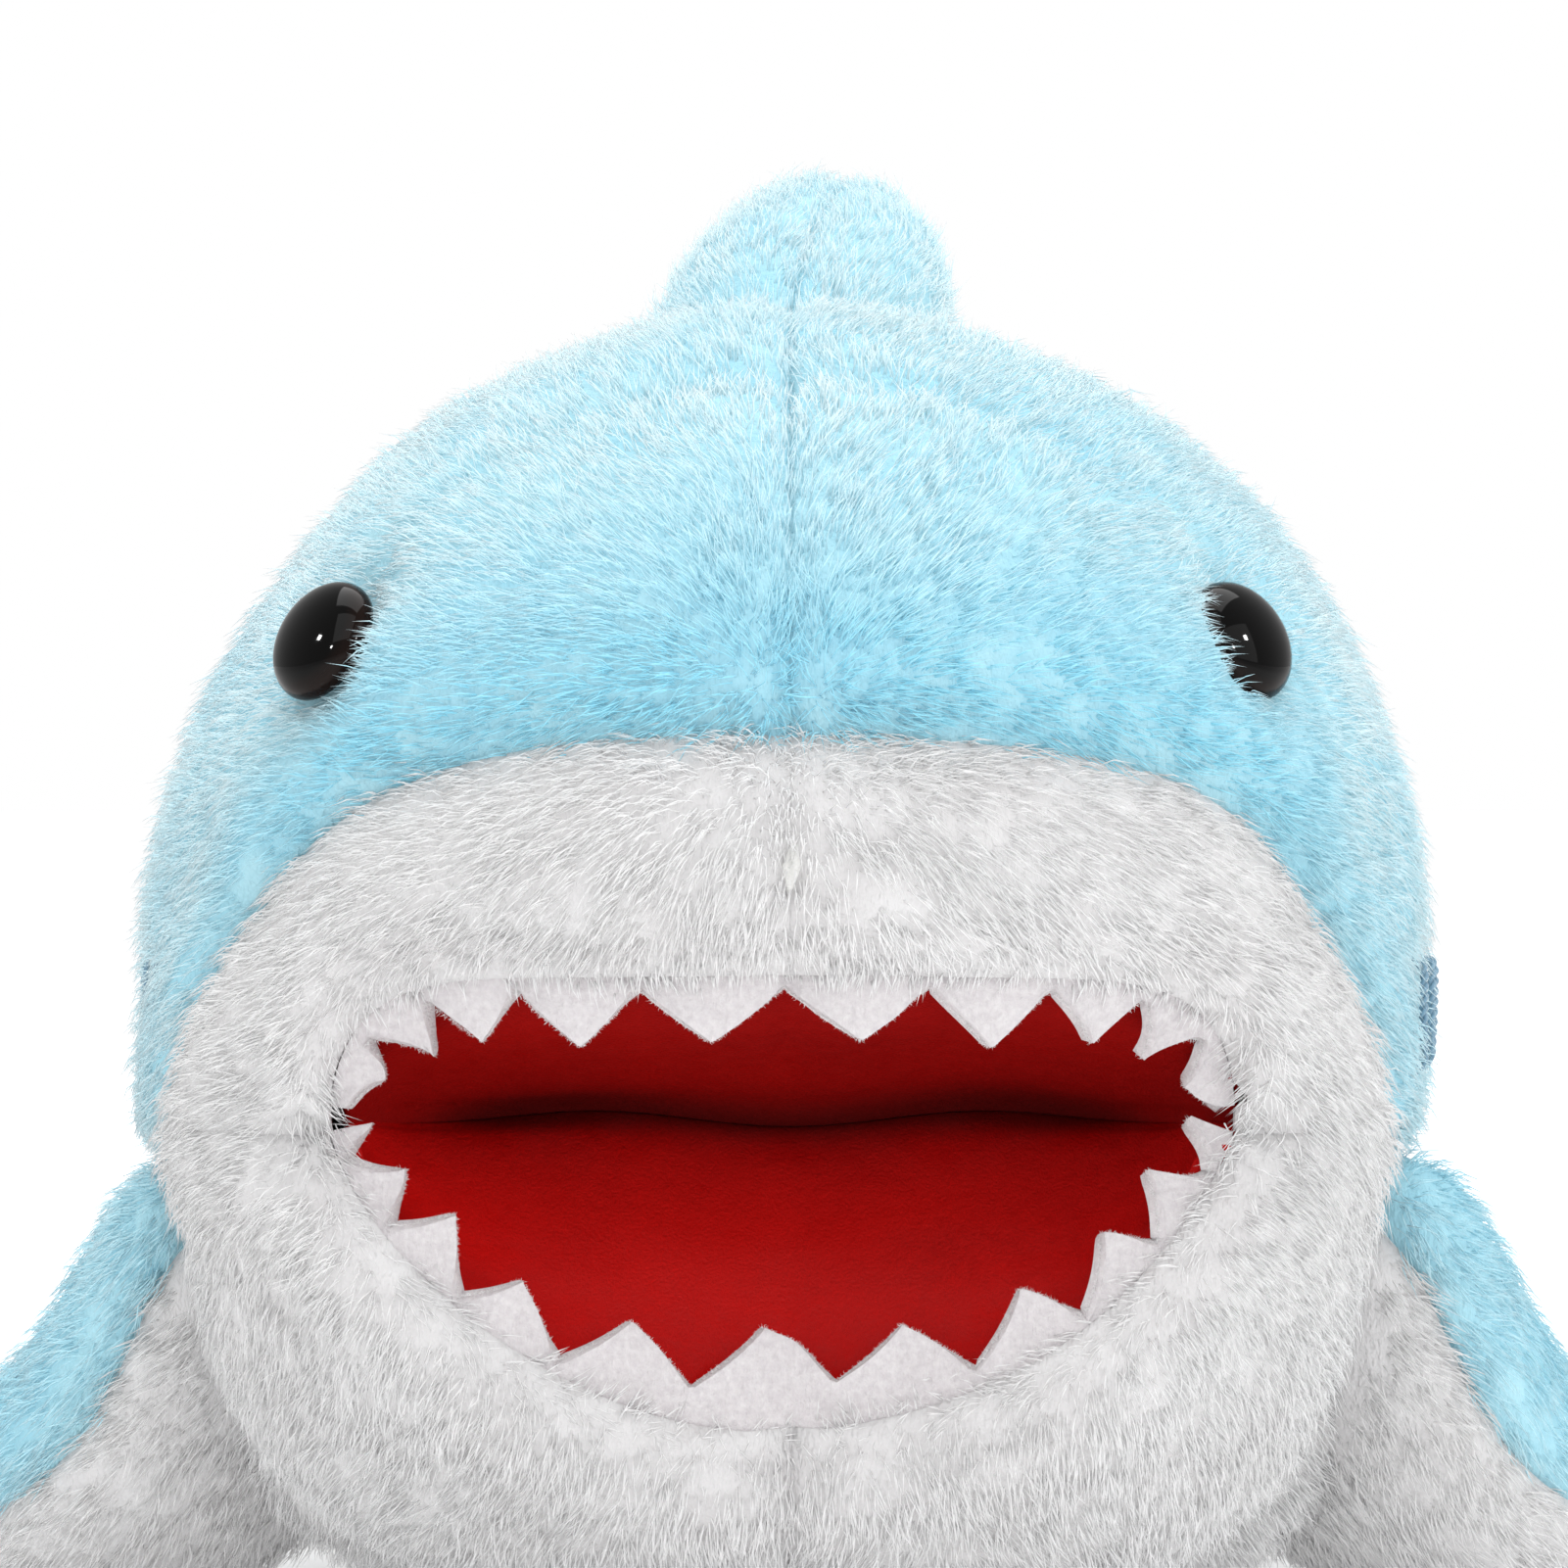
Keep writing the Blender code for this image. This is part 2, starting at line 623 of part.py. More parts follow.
def flipper_law(side, inset):
    """The root is half an ellipsoid turned about the hinge; the blade bends down to the floor."""
    root_r = FLIPPER_ROOT_RADIUS - inset
    half_chord = FLIPPER_HALF_CHORD - inset

    def law(unit):
        ring = math.hypot(unit.x, unit.y)
        chord, thick = (unit.y / ring, unit.x / ring) if ring > 1e-6 else (0.0, 0.0)
        reach = 2.0 * math.asin(max(-1.0, min(1.0, unit.z))) / math.pi
        start, direction = flipper_centre(0.0)
        if reach <= 0.0:
            depth = math.sin(-reach * math.pi / 2)
            size = math.cos(-reach * math.pi / 2)
            point = (start[0] - direction[0] * root_r * depth, start[1] - direction[1] * root_r * depth)
            twist = 0.0
            half_thick = root_r * size
            y = half_chord * size * chord
        else:
            s = reach * (1.0 - inset / FLIPPER_LENGTH)
            point, direction = flipper_centre(s)
            blade = math.sqrt(max(0.0, 1.0 - reach**FLIPPER_FULLNESS))
            half_thick = mix(root_r, FLIPPER_TIP_RADIUS - inset, smooth(reach)) * blade
            y = half_chord * mix(1.0, FLIPPER_TIP_SHARE, reach) * blade * chord + FLIPPER_SWEEP * s**2
            twist = FLIPPER_TWIST * smooth((reach - 0.15) / 0.6)
        normal = (-direction[1], direction[0])  # towards the blue side
        across = half_thick * thick
        tilt = -(y - FLIPPER_SWEEP * max(reach, 0.0) ** 2) * math.tan(twist)
        x = point[0] + normal[0] * (across + tilt)
        z = point[1] + normal[1] * (across + tilt)
        return Vector(at_full(side * x, FLIPPER_ROOT[1] + y, max(z, 0.001 + inset)))

    return law


def flipper_frame(side):
    return Matrix.Translation(at_full(side * FLIPPER_ROOT[0], FLIPPER_ROOT[1], FLIPPER_ROOT[2]))


def filling_form(name, law, mesh_size, pole):
    """The filling of a bag, as a node."""
    fill = ball_form(name + "_form", law, *mesh_size, CUTTERS, pole=pole)
    made = piece(name, fill.data.copy(), "fibre_fill")
    bpy.data.objects.remove(fill, do_unlink=True)
    return made


def half_panel(name, law_at, on_this_side, pull, material_name):
    """One fabric panel of a bag: the form's points on one side of its seam, as an outer and an inner sheet.

    law_at gives the form's law for an inset, and pull moves the panel off its seam by half the gap.
    """
    bm = bmesh.new()
    bmesh.ops.create_uvsphere(bm, u_segments=FIN_MESH[0], v_segments=FIN_MESH[1], radius=1.0)
    other = [face for face in bm.faces if on_this_side(face.calc_center_median()) < 0.0]
    bmesh.ops.delete(bm, geom=other, context="FACES")
    rim = [edge.verts[:] for edge in bm.edges if edge.is_boundary]
    outer = list(bm.verts)
    inner_of = bmesh.ops.duplicate(bm, geom=[*bm.verts, *bm.edges, *bm.faces])["vert_map"]
    inner = [inner_of[vert] for vert in outer]
    for verts, inset in ((outer, 0.0), (inner, SKIN)):
        law = law_at(inset)
        for vert in verts:
            vert.co = law(vert.co.normalized()) + Vector(pull) * (GAP / 2)
    for start, end in rim:
        bm.faces.new((start, end, inner_of[end], inner_of[start]))
    made = object_from(bm, name, TOY)
    made.data.materials.append(material(material_name))


def add_flipper(word, side):
    up = Vector((side * 0.6, 0.0, 0.8))

    def law_at(inset):
        return flipper_law(side, inset)

    half_panel(f"{word}_flipper_top", law_at, lambda p: p.x, up, "blue_fur")
    half_panel(f"{word}_flipper_underside", law_at, lambda p: -p.x, -up, "white_fur")
    filling_form(f"{word}_flipper_stuffing", flipper_law(side, LOOSE_FILL_INSET), FIN_MESH, "Z")


# --- Dorsal fin ---


def fin_frame():
    return (
        Matrix.Translation(at_full(*FIN_HINGE))
        @ Matrix.Rotation(FIN_SLOPE, 4, "X")
        @ Matrix.Rotation(FIN_LEAN, 4, "Y")
    )


def fin_law(inset):
    """The root is half an ellipsoid turned about the hinge; the fin rises and sweeps back."""
    frame = fin_frame()
    radius = FIN_ROOT_RADIUS - inset
    half_chord = FIN_HALF_CHORD - inset

    def law(unit):
        if unit.z <= 0.0:
            return frame @ Vector((unit.x * radius, unit.y * half_chord, unit.z * radius))
        rise = unit.z
        fuller = math.sqrt(1.0 - rise**FIN_FULLNESS) / math.sqrt(1.0 - rise**2) if rise < 1.0 else 0.0
        x = unit.x * radius * fuller
        y = unit.y * half_chord * fuller * mix(1.0, FIN_TIP_SHARE, rise) + FIN_SWEEP * rise**1.5
        return frame @ Vector((x, y, (FIN_HEIGHT - inset) * rise))

    return law


def add_dorsal_fin():
    for word, side in SIDES:
        half_panel(f"dorsal_fin_{word}", fin_law, lambda p, side=side: side * p.x, (side, 0, 0), "blue_fur")
    filling_form("dorsal_fin_stuffing", fin_law(LOOSE_FILL_INSET), FIN_MESH, "Z")


# --- Tail ---


def stem_law(inset):
    """A ball in the trunk's socket, then a stem that narrows to the tail fin."""

    def law(unit):
        ball = TAIL_BALL - inset
        if unit.y <= 0.0:
            return Vector(at_full(unit.x * ball, TAIL_Y + unit.y * ball, TAIL_Z + unit.z * ball))
        ring = math.hypot(unit.x, unit.z)
        across, up = (unit.x / ring, unit.z / ring) if ring > 1e-6 else (0.0, 0.0)
        reach = 2.0 * math.asin(min(unit.y, 1.0)) / math.pi
        share = smooth(reach)
        close = math.sqrt(max(0.0, 1.0 - reach**9)) if ring > 1e-6 else 0.0
        half_width = (mix(TAIL_BALL, STEM_END_HALF_WIDTH, share) - inset) * close
        half_height = (mix(TAIL_BALL, STEM_END_HALF_HEIGHT, share) - inset) * close
        y = TAIL_Y + (STEM_END_Y - TAIL_Y - inset) * reach
        z = mix(TAIL_Z, STEM_END_Z, share) + half_height * up
        return Vector(at_full(half_width * across, y, z))

    return law


def tail_fin_law(inset):
    """A crescent: the chord follows a line that sweeps back towards both tips."""

    def law(unit):
        span = unit.z * (1.0 - inset / TAIL_FIN_HALF_SPAN)
        lobe = 1.0 if span > 0.0 else 0.86
        y = TAIL_FIN_Y + TAIL_FIN_SWEEP * abs(span) ** 1.6 * lobe + unit.y * (TAIL_FIN_HALF_CHORD - inset)
        z = TAIL_FIN_Z + span * TAIL_FIN_HALF_SPAN * lobe
        return Vector(at_full(unit.x * (TAIL_FIN_HALF_THICKNESS - inset), y, z))

    return law


def add_tail():
    stem = as_cutter(ball_form("stem_form", stem_law(0.0), *STEM_MESH, CUTTERS))
    core = as_cutter(ball_form("stem_core", stem_law(SKIN), *STEM_MESH, CUTTERS))
    high_z, low_z = SEAM_REAR_Z + GAP / 2, SEAM_REAR_Z - GAP / 2
    near, far = 0.2, 2 * FAR  # from in front of the stem to past the tail fin
    for word, side in SIDES:
        above = [(near, high_z), (far, high_z), (far, FAR), (near, FAR)]
        region = prism(f"{word}_tail_region", above, *side_bounds(side))
        panel = piece(f"{word}_tail_panel", stem.data.copy(), "blue_fur")
        keep(panel, region)
        cut(panel, core)
    below = [(near, low_z), (near, UNDER), (far, UNDER), (far, low_z)]
    panel = piece("tail_underside_panel", stem.data.copy(), "white_fur")
    keep(panel, prism("tail_underside_region", below, -FAR, FAR))
    cut(panel, core)
    filling_form("tail_stuffing", stem_law(FILL_INSET), STEM_MESH, "Y")

    stem_room = as_cutter(ball_form("stem_room", stem_law(-GAP), *STEM_MESH, CUTTERS))
    fin = as_cutter(ball_form("tail_fin_form", tail_fin_law(0.0), *FIN_MESH, CUTTERS, pole="Z"))
    fin_core = as_cutter(ball_form("tail_fin_core", tail_fin_law(SKIN), *FIN_MESH, CUTTERS, pole="Z"))
    whole = [(near, UNDER), (far, UNDER), (far, FAR), (near, FAR)]
    for word, side in SIDES:
        panel = piece(f"tail_fin_{word}", fin.data.copy(), "blue_fur")
        keep(panel, prism(f"{word}_tail_fin_region", whole, *side_bounds(side)))
        cut(panel, fin_core, stem_room)
    stuffing = filling_form("tail_fin_stuffing", tail_fin_law(SWEPT_FILL_INSET), FIN_MESH, "Z")
    cut(stuffing, stem_room)


# --- The toy ---

empty_scene()
TOY = new_collection("plush_shark", hidden=False)
CUTTERS = new_collection("cutters", hidden=True)

shared_cutters = trunk_cutters()
root_sockets = [
    root_socket(f"{word}_flipper_socket", flipper_frame(side), FLIPPER_ROOT_RADIUS, FLIPPER_HALF_CHORD)
    for word, side in SIDES
]
root_sockets.append(root_socket("dorsal_fin_socket", fin_frame(), FIN_ROOT_RADIUS, FIN_HALF_CHORD))
root_sockets.append(shared_cutters["tail_socket"])
trunk_form = add_trunk(shared_cutters, root_sockets)
add_mouth_linings(shared_cutters, trunk_form)
add_tooth_strip("upper_tooth_strip", True, TOOTH_ROW_HALF_ANGLE, TOOTH_ROW_Y)
add_tooth_strip("lower_tooth_strip", False, TOOTH_ROW_HALF_ANGLE, TOOTH_ROW_Y)
for word, side in SIDES:
    add_eye(word, side)
    for number, gill_y in enumerate(GILL_YS, 1):
        add_gill_stitch(f"{word}_gill_stitch_{number}", side, gill_y)
    add_flipper(word, side)
add_dorsal_fin()
add_tail()
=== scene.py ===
"""The looks of a stuffed toy shark with long pile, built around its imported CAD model.

Each fabric bag is a fine surface that follows the same kind of law as its CAD form, with sizes corrected by
the photo, drawn in at its seams and puffed between them. The pile is grown on it as real fibres in tufts.
Metres, +Z up, and the nose points to -Y.
"""

import json
import math

import bpy
import numpy as np
from mathutils import Matrix, Vector


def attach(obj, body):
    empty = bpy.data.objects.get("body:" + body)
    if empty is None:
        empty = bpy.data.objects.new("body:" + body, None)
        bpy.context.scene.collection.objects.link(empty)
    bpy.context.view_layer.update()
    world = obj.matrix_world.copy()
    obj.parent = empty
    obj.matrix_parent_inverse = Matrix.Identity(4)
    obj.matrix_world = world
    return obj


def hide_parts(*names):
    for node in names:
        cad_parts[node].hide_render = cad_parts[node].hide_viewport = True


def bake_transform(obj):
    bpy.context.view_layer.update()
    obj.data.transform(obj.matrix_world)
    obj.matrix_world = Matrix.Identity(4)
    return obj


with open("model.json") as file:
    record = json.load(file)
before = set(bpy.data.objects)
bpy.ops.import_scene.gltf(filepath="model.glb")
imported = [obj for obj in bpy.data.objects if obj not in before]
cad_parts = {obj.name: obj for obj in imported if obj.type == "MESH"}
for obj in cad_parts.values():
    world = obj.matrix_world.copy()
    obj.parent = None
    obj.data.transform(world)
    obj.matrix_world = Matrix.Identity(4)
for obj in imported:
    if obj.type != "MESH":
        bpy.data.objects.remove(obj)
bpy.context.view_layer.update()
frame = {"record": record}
joint_at = {j["name"]: np.array(j["pos_m"]) for j in frame["record"]["behaviour"]["joints"]}

# Forms: the CAD model's, corrected where the photo showed it to be off. Lengths along Y are from the fullest
# section, and +Y is towards the tail.
FRONT_REACH = 0.146
HALF_WIDTH = 0.1372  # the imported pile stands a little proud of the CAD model's sides
CENTRE_Z = 0.135
HEIGHT_UP = 0.135
HEIGHT_DOWN = 0.146
NOSE_RISE = 0.022
FRONT_ROUND = 2.1
CHIN_ROUND = 0.9
BELLY_SQUARE = 3.0  # the soft belly spreads on the floor, where the CAD model is rounder
CHIN_SQUARE = -0.15
TRUNK_TAPER = 0.270
TRUNK_END_RADIUS = 0.066
TRUNK_CLOSE_Y = 0.236  # where the trunk starts to round in to the tail
TRUNK_END_Y = 0.264
TAIL_Y = joint_at["tail_swing"][1]
TAIL_Z = joint_at["tail_swing"][2]
TAIL_BALL = 0.056
STEM_END_Y = 0.392
STEM_END_HALF_WIDTH = 0.020
STEM_END_HALF_HEIGHT = 0.027
STEM_END_Z = 0.094
TAIL_FIN_Y = 0.386
TAIL_FIN_Z = 0.108
TAIL_FIN_HALF_SPAN = 0.093
TAIL_FIN_SWEEP = 0.080
TAIL_FIN_HALF_CHORD = 0.034
TAIL_FIN_HALF_THICKNESS = 0.019
FLIPPER_ROOT = (0.105, 0.062)  # inside the trunk, so that the flipper comes out of it without a step
FLIPPER_BEND = (0.150, -0.002)
FLIPPER_TIP = (0.236, 0.0200)
FLIPPER_ROOT_RADIUS = 0.0360
FLIPPER_HALF_CHORD = 0.043
FLIPPER_LENGTH = 0.160
FLIPPER_TIP_RADIUS = 0.0240
FLIPPER_TIP_SHARE = 0.80
FLIPPER_FULLNESS = 3.2
FLIPPER_SWEEP = 0.040
FLIPPER_TWIST = math.radians(30.0)
FLIPPER_AHEAD = 0.008  # share of the deep colour, the same all over both flippers
FLIPPER_DEEP_SHARE = 0.45  # share of the deeper dye
FIN_SLOPE = math.radians(-24.0)
FIN_LEAN = math.radians(6.0)
FIN_SIDEWAYS = 0.006  # how far the soft tip sags to the side
FIN_ROOT_RADIUS = 0.037
FIN_HALF_CHORD = 0.052
FIN_HEIGHT = 0.084
FIN_SWEEP = 0.030
FIN_FULLNESS = 2.3
FIN_TIP_SHARE = 0.62
EYE_X = 0.091
EYE_Z = 0.201
EYE_RADIUS = 0.0125
EYE_HEIGHT = 0.0085
EYE_SUNK = 0.0028
EYE_DROP = 0.0018
LEFT_EYE_SHIFT = 0.0030  # towards the middle, since the photo's eyes aren't quite mirror images
SEAM_FRONT_Z = 0.184
SEAM_REAR_Z = 0.076
SEAM_MID_Y = -0.0845
SEAM_RUN = 0.0165
CREASE_Y = -0.060
CREASE_Z = joint_at["jaw_squeeze"][2]
FULL_Y = joint_at["jaw_squeeze"][1] - CREASE_Y
HINGE_Y = FULL_Y + CREASE_Y
SHOULDER = joint_at["left_flipper_lift"]
FIN_PLACE = joint_at["dorsal_fin_bend"]

# Mouth: a palate and a tongue that meet at a sharp crease
MOUTH_HALF_WIDTH = 0.0922
CORNER_Z = 0.1058
UPPER_LIP_Z = 0.1355
LOWER_LIP_Z = 0.0447
UPPER_SQUARE = (8.0, 0.50)  # the lip line's shares of its height are (1 - share of the width^first)^second
LOWER_SQUARE = (1.9, 0.75)
LINING = 0.0016
LINING_SHARE = 0.972  # how much of the mouth's width the lining spans
TEETH = 10  # in each strip
TOOTH = 0.0110
FELT_THICKNESS = 0.0030
CORNER_CROWDING = 0.24  # how much narrower the teeth get towards the corners of the mouth

CREASE_WAVE = 0.0016  # height of the crease's wave, which is CREASE_WAVE_LENGTH long
CREASE_WAVE_LENGTH = 0.080
UPPER_BAND = (0.0040, 0.0)  # the felt above the teeth: its height, and how much is added in the middle
LOWER_BAND = (0.0025, 0.0075)
BAND_END = 0.0036  # what is added at the corners, where the cloth turns in
LOWER_PHASE = -0.37  # how far the lower teeth are out of step, in teeth

# Fabric and pile
BACKING_INSET = 0.0030  # the cloth under the CAD model's face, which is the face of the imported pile
CLOTH = 0.0016
FILL_INSET = 0.0095
PILE = 0.0092
FIBRE = 0.00018  # radius at the root
FLOOR = 0.0004
NOSE = np.array([0.0, FULL_Y - FRONT_REACH, SEAM_FRONT_Z])
MOST_FIBRES = 19500  # in one piece
TUFT_FIBRES = 4
TUFT_SPREAD = 0.0015
TUFT_GATHER = 0.35  # how far a tuft's fibres draw together towards its tip
COARSE = 1.6  # thickness of the fibres behind, which are fewer

TRUNK_TUFTS = 200000.0  # in a square metre
REAR_TUFTS = 62000.0
FLIPPER_TUFTS = 170000.0
FIN_TUFTS = 150000.0
TRUNK_LIFT = 0.27  # how steeply the pile stands, from 0 to 1
BAG_LIFT = 0.26
TAIL_LIFT = 0.30
NOSE_LIFT = 0.45  # what is added at the nose
LIFT_SCATTER = 0.10
NAP_WANDER = 0.20  # how much the nap turns from place to place
NAP_LUMP = 0.024
NAP_SCATTER = 0.16  # how much it turns from tuft to tuft
TINT = 0.22  # share of the pale tip colour
TINT_SCATTER = 0.07
FIBRE_TINT_SCATTER = 0.05

# Relief of the cloth: how far it is drawn in or puffs out
SEAM_PULL = 0.0042
LIP_PULL = 0.0075
LIP_PUFF = 0.0022
CREASE_PULL = 0.0090
WHITE_MIDDLE_PULL = 0.0012
BLUE_MIDDLE_PULL = 0.0026
FOREHEAD_PULL = 0.0020
EYE_PULL = 0.0040
BROW_PUFF = 0.0052
SHOULDER_PULL = 0.0060
FIN_BASE_PULL = 0.0035

# Studio
CAMERA_PLACE = (-0.0012, FULL_Y - 1.040, 0.171)
LENS_MM = 112.4
SENSOR_MM = 36.0
SKY_STRENGTH = 0.72
FLOOR_GLOW = 0.37  # so that the floor reads as white as the photo's ground

SIDES = (("left", 1.0), ("right", -1.0))


# --- Small mathematics, on arrays ---


def mix(a, b, share):
    return a + (b - a) * share


def smooth(t):
    t = np.clip(t, 0.0, 1.0)
    return t * t * (3.0 - 2.0 * t)


def bell(distance, width):
    return np.exp(-((distance / width) ** 2))


def signed_power(value, power):
    return np.sign(value) * np.abs(value) ** power


def rows(vectors):
    """Each row made one long."""
    return vectors / np.maximum(np.linalg.norm(vectors, axis=1, keepdims=True), 1e-9)


def dots(a, b):
    return np.sum(a * b, axis=1, keepdims=True)


def distance(points, place):
    return np.linalg.norm(points - place, axis=1)


def narrowed(low, high, fits, steps=40):
    """The last value that fits and the first that doesn't, found by halving."""
    for _ in range(steps):
        middle = (low + high) / 2
        good = fits(middle)
        low, high = np.where(good, middle, low), np.where(good, high, middle)
    return low, high


def turns(around):
    return np.linspace(0.0, 2.0 * math.pi, around, endpoint=False)


def ring_cells(rings, around):
    """Corners of the cells from each of these closed rings of points to the ring after it."""
    row, col = np.meshgrid(np.arange(rings), np.arange(around), indexing="ij")
    a = (row * around + col).reshape(-1)
    b = (row * around + (col + 1) % around).reshape(-1)
    return a, b, b + around, a + around


def sheet_cells(columns, levels):
    """Corners of the cells of a sheet with this many columns and levels of them."""
    cell = (np.arange(columns)[:, None] * (levels + 1) + np.arange(levels)[None]).reshape(-1)
    return cell, cell + levels + 1, cell + levels + 2, cell + 1


def faces_from(*corners):
    return np.stack(corners, axis=1)


def lumps(points, size, seed):
    """Smooth values from about -1 to 1 that change over this size."""
    rng = np.random.default_rng(seed)
    total = np.zeros(len(points))
    waves = 7
    for _ in range(waves):
        way = rng.normal(size=3)
        way *= rng.uniform(0.6, 1.4) * 2.0 * math.pi / (size * 2.0 * np.linalg.norm(way))
        total += np.sin(points @ way + rng.uniform(0.0, 2.0 * math.pi))
    return total / math.sqrt(waves)


def lump_vectors(points, size, seed):
    return np.stack([lumps(points, size, seed + k) for k in range(3)], axis=1)


# --- Surfaces: points, where they were before the fabric was drawn in, and triangles ---


class Surface:
    def __init__(self, points, tris):
        self.points = points
        self.rest = points.copy()
        self.tris = tris

    def normals(self):
        a, b, c = (self.points[self.tris[:, k]] for k in range(3))
        facing = np.cross(b - a, c - a)
        total = np.zeros_like(self.points)
        for k in range(3):
            np.add.at(total, self.tris[:, k], facing)
        return rows(total)

    def part(self, chosen):
        """The surface of the chosen triangles alone."""
        used, index = np.unique(self.tris[chosen], return_inverse=True)
        made = Surface(self.points[used], index.reshape(-1, 3))
        made.rest = self.rest[used]
        return made

    def centres(self):
        return self.rest[self.tris].mean(axis=1)


def sphere_surface(around, along, law, pole="Z"):
    """A unit sphere of triangles, whose points law moves, with its poles along this axis."""
    lat = np.linspace(-math.pi / 2, math.pi / 2, along + 1)[1:-1]
    lat_grid, turn_grid = (g.reshape(-1) for g in np.meshgrid(lat, turns(around), indexing="ij"))
    ring = np.cos(lat_grid)
    flat = np.stack([ring * np.cos(turn_grid), ring * np.sin(turn_grid), np.sin(lat_grid)], axis=1)
    unit = np.vstack([flat, [[0.0, 0.0, -1.0], [0.0, 0.0, 1.0]]])
    unit = unit[:, {"Z": (0, 1, 2), "Y": (1, 2, 0)}[pole]]
    a, b, c, d = ring_cells(along - 2, around)
    ends = np.arange(around)
    after = (ends + 1) % around
    last = (along - 2) * around
    low = np.full(around, len(flat))
    poles = (faces_from(low, after, ends), faces_from(low + 1, last + ends, last + after))
    made = Surface(law(unit), np.vstack([faces_from(a, b, c), faces_from(a, c, d), *poles]))
    made.unit = unit
    return oriented(made)


def surface_volume(surface):
    a, b, c = (surface.points[surface.tris[:, k]] for k in range(3))
    return float(np.sum(a * np.cross(b, c)) / 6.0)


def oriented(surface):
    """The closed surface, with its faces turned outwards."""
    if surface_volume(surface) < 0.0:
        surface.tris = surface.tris[:, ::-1]
    return surface


def edges_of(tris):
    pairs = np.sort(np.vstack([tris[:, (0, 1)], tris[:, (1, 2)], tris[:, (2, 0)]]), axis=1)
    return np.unique(pairs, axis=0)


def snap(surface, level, only=None):
    """Moves points on to the line where level is 0, so that a cut there is clean."""
    ends = edges_of(surface.tris)
    values = level(surface.points)
    first, second = values[ends[:, 0]], values[ends[:, 1]]
    crossing = first * second < 0.0
    if only is not None:
        crossing &= only(surface.points)[ends[:, 0]]
    ends, first, second = ends[crossing], first[crossing], second[crossing]
    share = first / (first - second)
    near = np.where(share < 0.5, ends[:, 0], ends[:, 1])
    start, end = surface.points[ends[:, 0]], surface.points[ends[:, 1]]
    target = start + (end - start) * share[:, None]
    order = np.argsort(-np.minimum(share, 1.0 - share))
    surface.points[near[order]] = target[order]
    surface.rest = surface.points.copy()


def new_mesh(name, points, faces_by_size, materials):
    """An object from arrays: faces_by_size holds one array of faces for each number of corners."""
    mesh = bpy.data.meshes.new(name)
    mesh.vertices.add(len(points))
    mesh.vertices.foreach_set("co", np.asarray(points, np.float32).reshape(-1))
    corners = np.concatenate([faces.reshape(-1) for faces in faces_by_size]).astype(np.int32)
    sizes = np.concatenate([np.full(len(faces), faces.shape[1]) for faces in faces_by_size])
    starts = np.concatenate([[0], np.cumsum(sizes)[:-1]]).astype(np.int32)
    mesh.loops.add(len(corners))
    mesh.loops.foreach_set("vertex_index", corners)
    mesh.polygons.add(len(sizes))
    mesh.polygons.foreach_set("loop_start", starts)
    mesh.update(calc_edges=True)
    mesh.polygons.foreach_set("use_smooth", np.ones(len(sizes), bool))
    for one in materials:
        mesh.materials.append(one)
    made = bpy.data.objects.new(name, mesh)
    bpy.context.scene.collection.objects.link(made)
    return made


def settle(obj):
    """Applies the object's modifiers."""
    bpy.context.view_layer.update()
    graph = bpy.context.evaluated_depsgraph_get()
    mesh = bpy.data.meshes.new_from_object(obj.evaluated_get(graph))
    obj.modifiers.clear()
    obj.data = mesh
    return obj


def thicken(obj, thickness, offset):
    sheet = obj.modifiers.new("thickness", "SOLIDIFY")
    sheet.thickness = thickness
    sheet.offset = offset


def paint(obj, name, values):
    """Gives the object's points an attribute that its material reads."""
    layer = obj.data.attributes.new(name, "FLOAT", "POINT")
    layer.data.foreach_set("value", values.astype(np.float32))


def cloth_piece(name, surface, thickness, material):
    """A sheet of cloth whose outer face is the surface."""
    made = new_mesh(name, surface.points, [surface.tris], [material])
    thicken(made, thickness, -1.0)
    return settle(made)


# --- Form laws ---


def trunk_law(inset):
    def law(unit):
        ring = np.maximum(np.hypot(unit[:, 0], unit[:, 2]), 1e-9)
        across, up = unit[:, 0] / ring, unit[:, 2] / ring
        ahead = np.maximum(0.0, -unit[:, 1])
        square = mix(2.0, BELLY_SQUARE + CHIN_SQUARE * ahead, smooth(-up / 0.5))
        across = signed_power(across, 2.0 / square)
        lift = signed_power(up, 2.0 / square)
        blunt = FRONT_ROUND + CHIN_ROUND * np.maximum(0.0, -up)
        front = np.maximum(0.0, 1.0 - ahead**blunt) ** (1.0 / blunt)
        y = np.where(
            unit[:, 1] <= 0.0,
            -(FRONT_REACH - inset) * ahead,
            (TRUNK_END_Y - inset * 0.5) * np.arcsin(np.clip(unit[:, 1], 0.0, 1.0)) / (math.pi / 2),
        )
        close = np.clip((y - TRUNK_CLOSE_Y) / (TRUNK_END_Y - TRUNK_CLOSE_Y), 0.0, 1.0)
        size = np.where(unit[:, 1] <= 0.0, front, 1.0 - 0.22 * (1.0 - np.sqrt(1.0 - close**2)))
        size = np.where(ring <= 1e-6, 0.0, size)
        half_width, half_up, half_down, centre = trunk_section(y)
        half_height = np.where(up > 0.0, half_up, half_down)
        x = (half_width - inset) * size * across
        z = centre + (half_height - inset) * size * lift
        return np.stack([x, FULL_Y + y, np.maximum(z, inset)], axis=1)

    return law


def trunk_section(y):
    """Half width, height up, height down and centre at this distance behind the fullest section."""
    share = smooth(y / TRUNK_TAPER)
    ahead = np.clip(-y / FRONT_REACH, 0.0, 1.0)
    return (
        mix(HALF_WIDTH, TRUNK_END_RADIUS, share),
        mix(HEIGHT_UP, TRUNK_END_RADIUS, share),
        mix(HEIGHT_DOWN, TRUNK_END_RADIUS, share),
        mix(CENTRE_Z, TAIL_Z, share) + NOSE_RISE * ahead**2,
    )


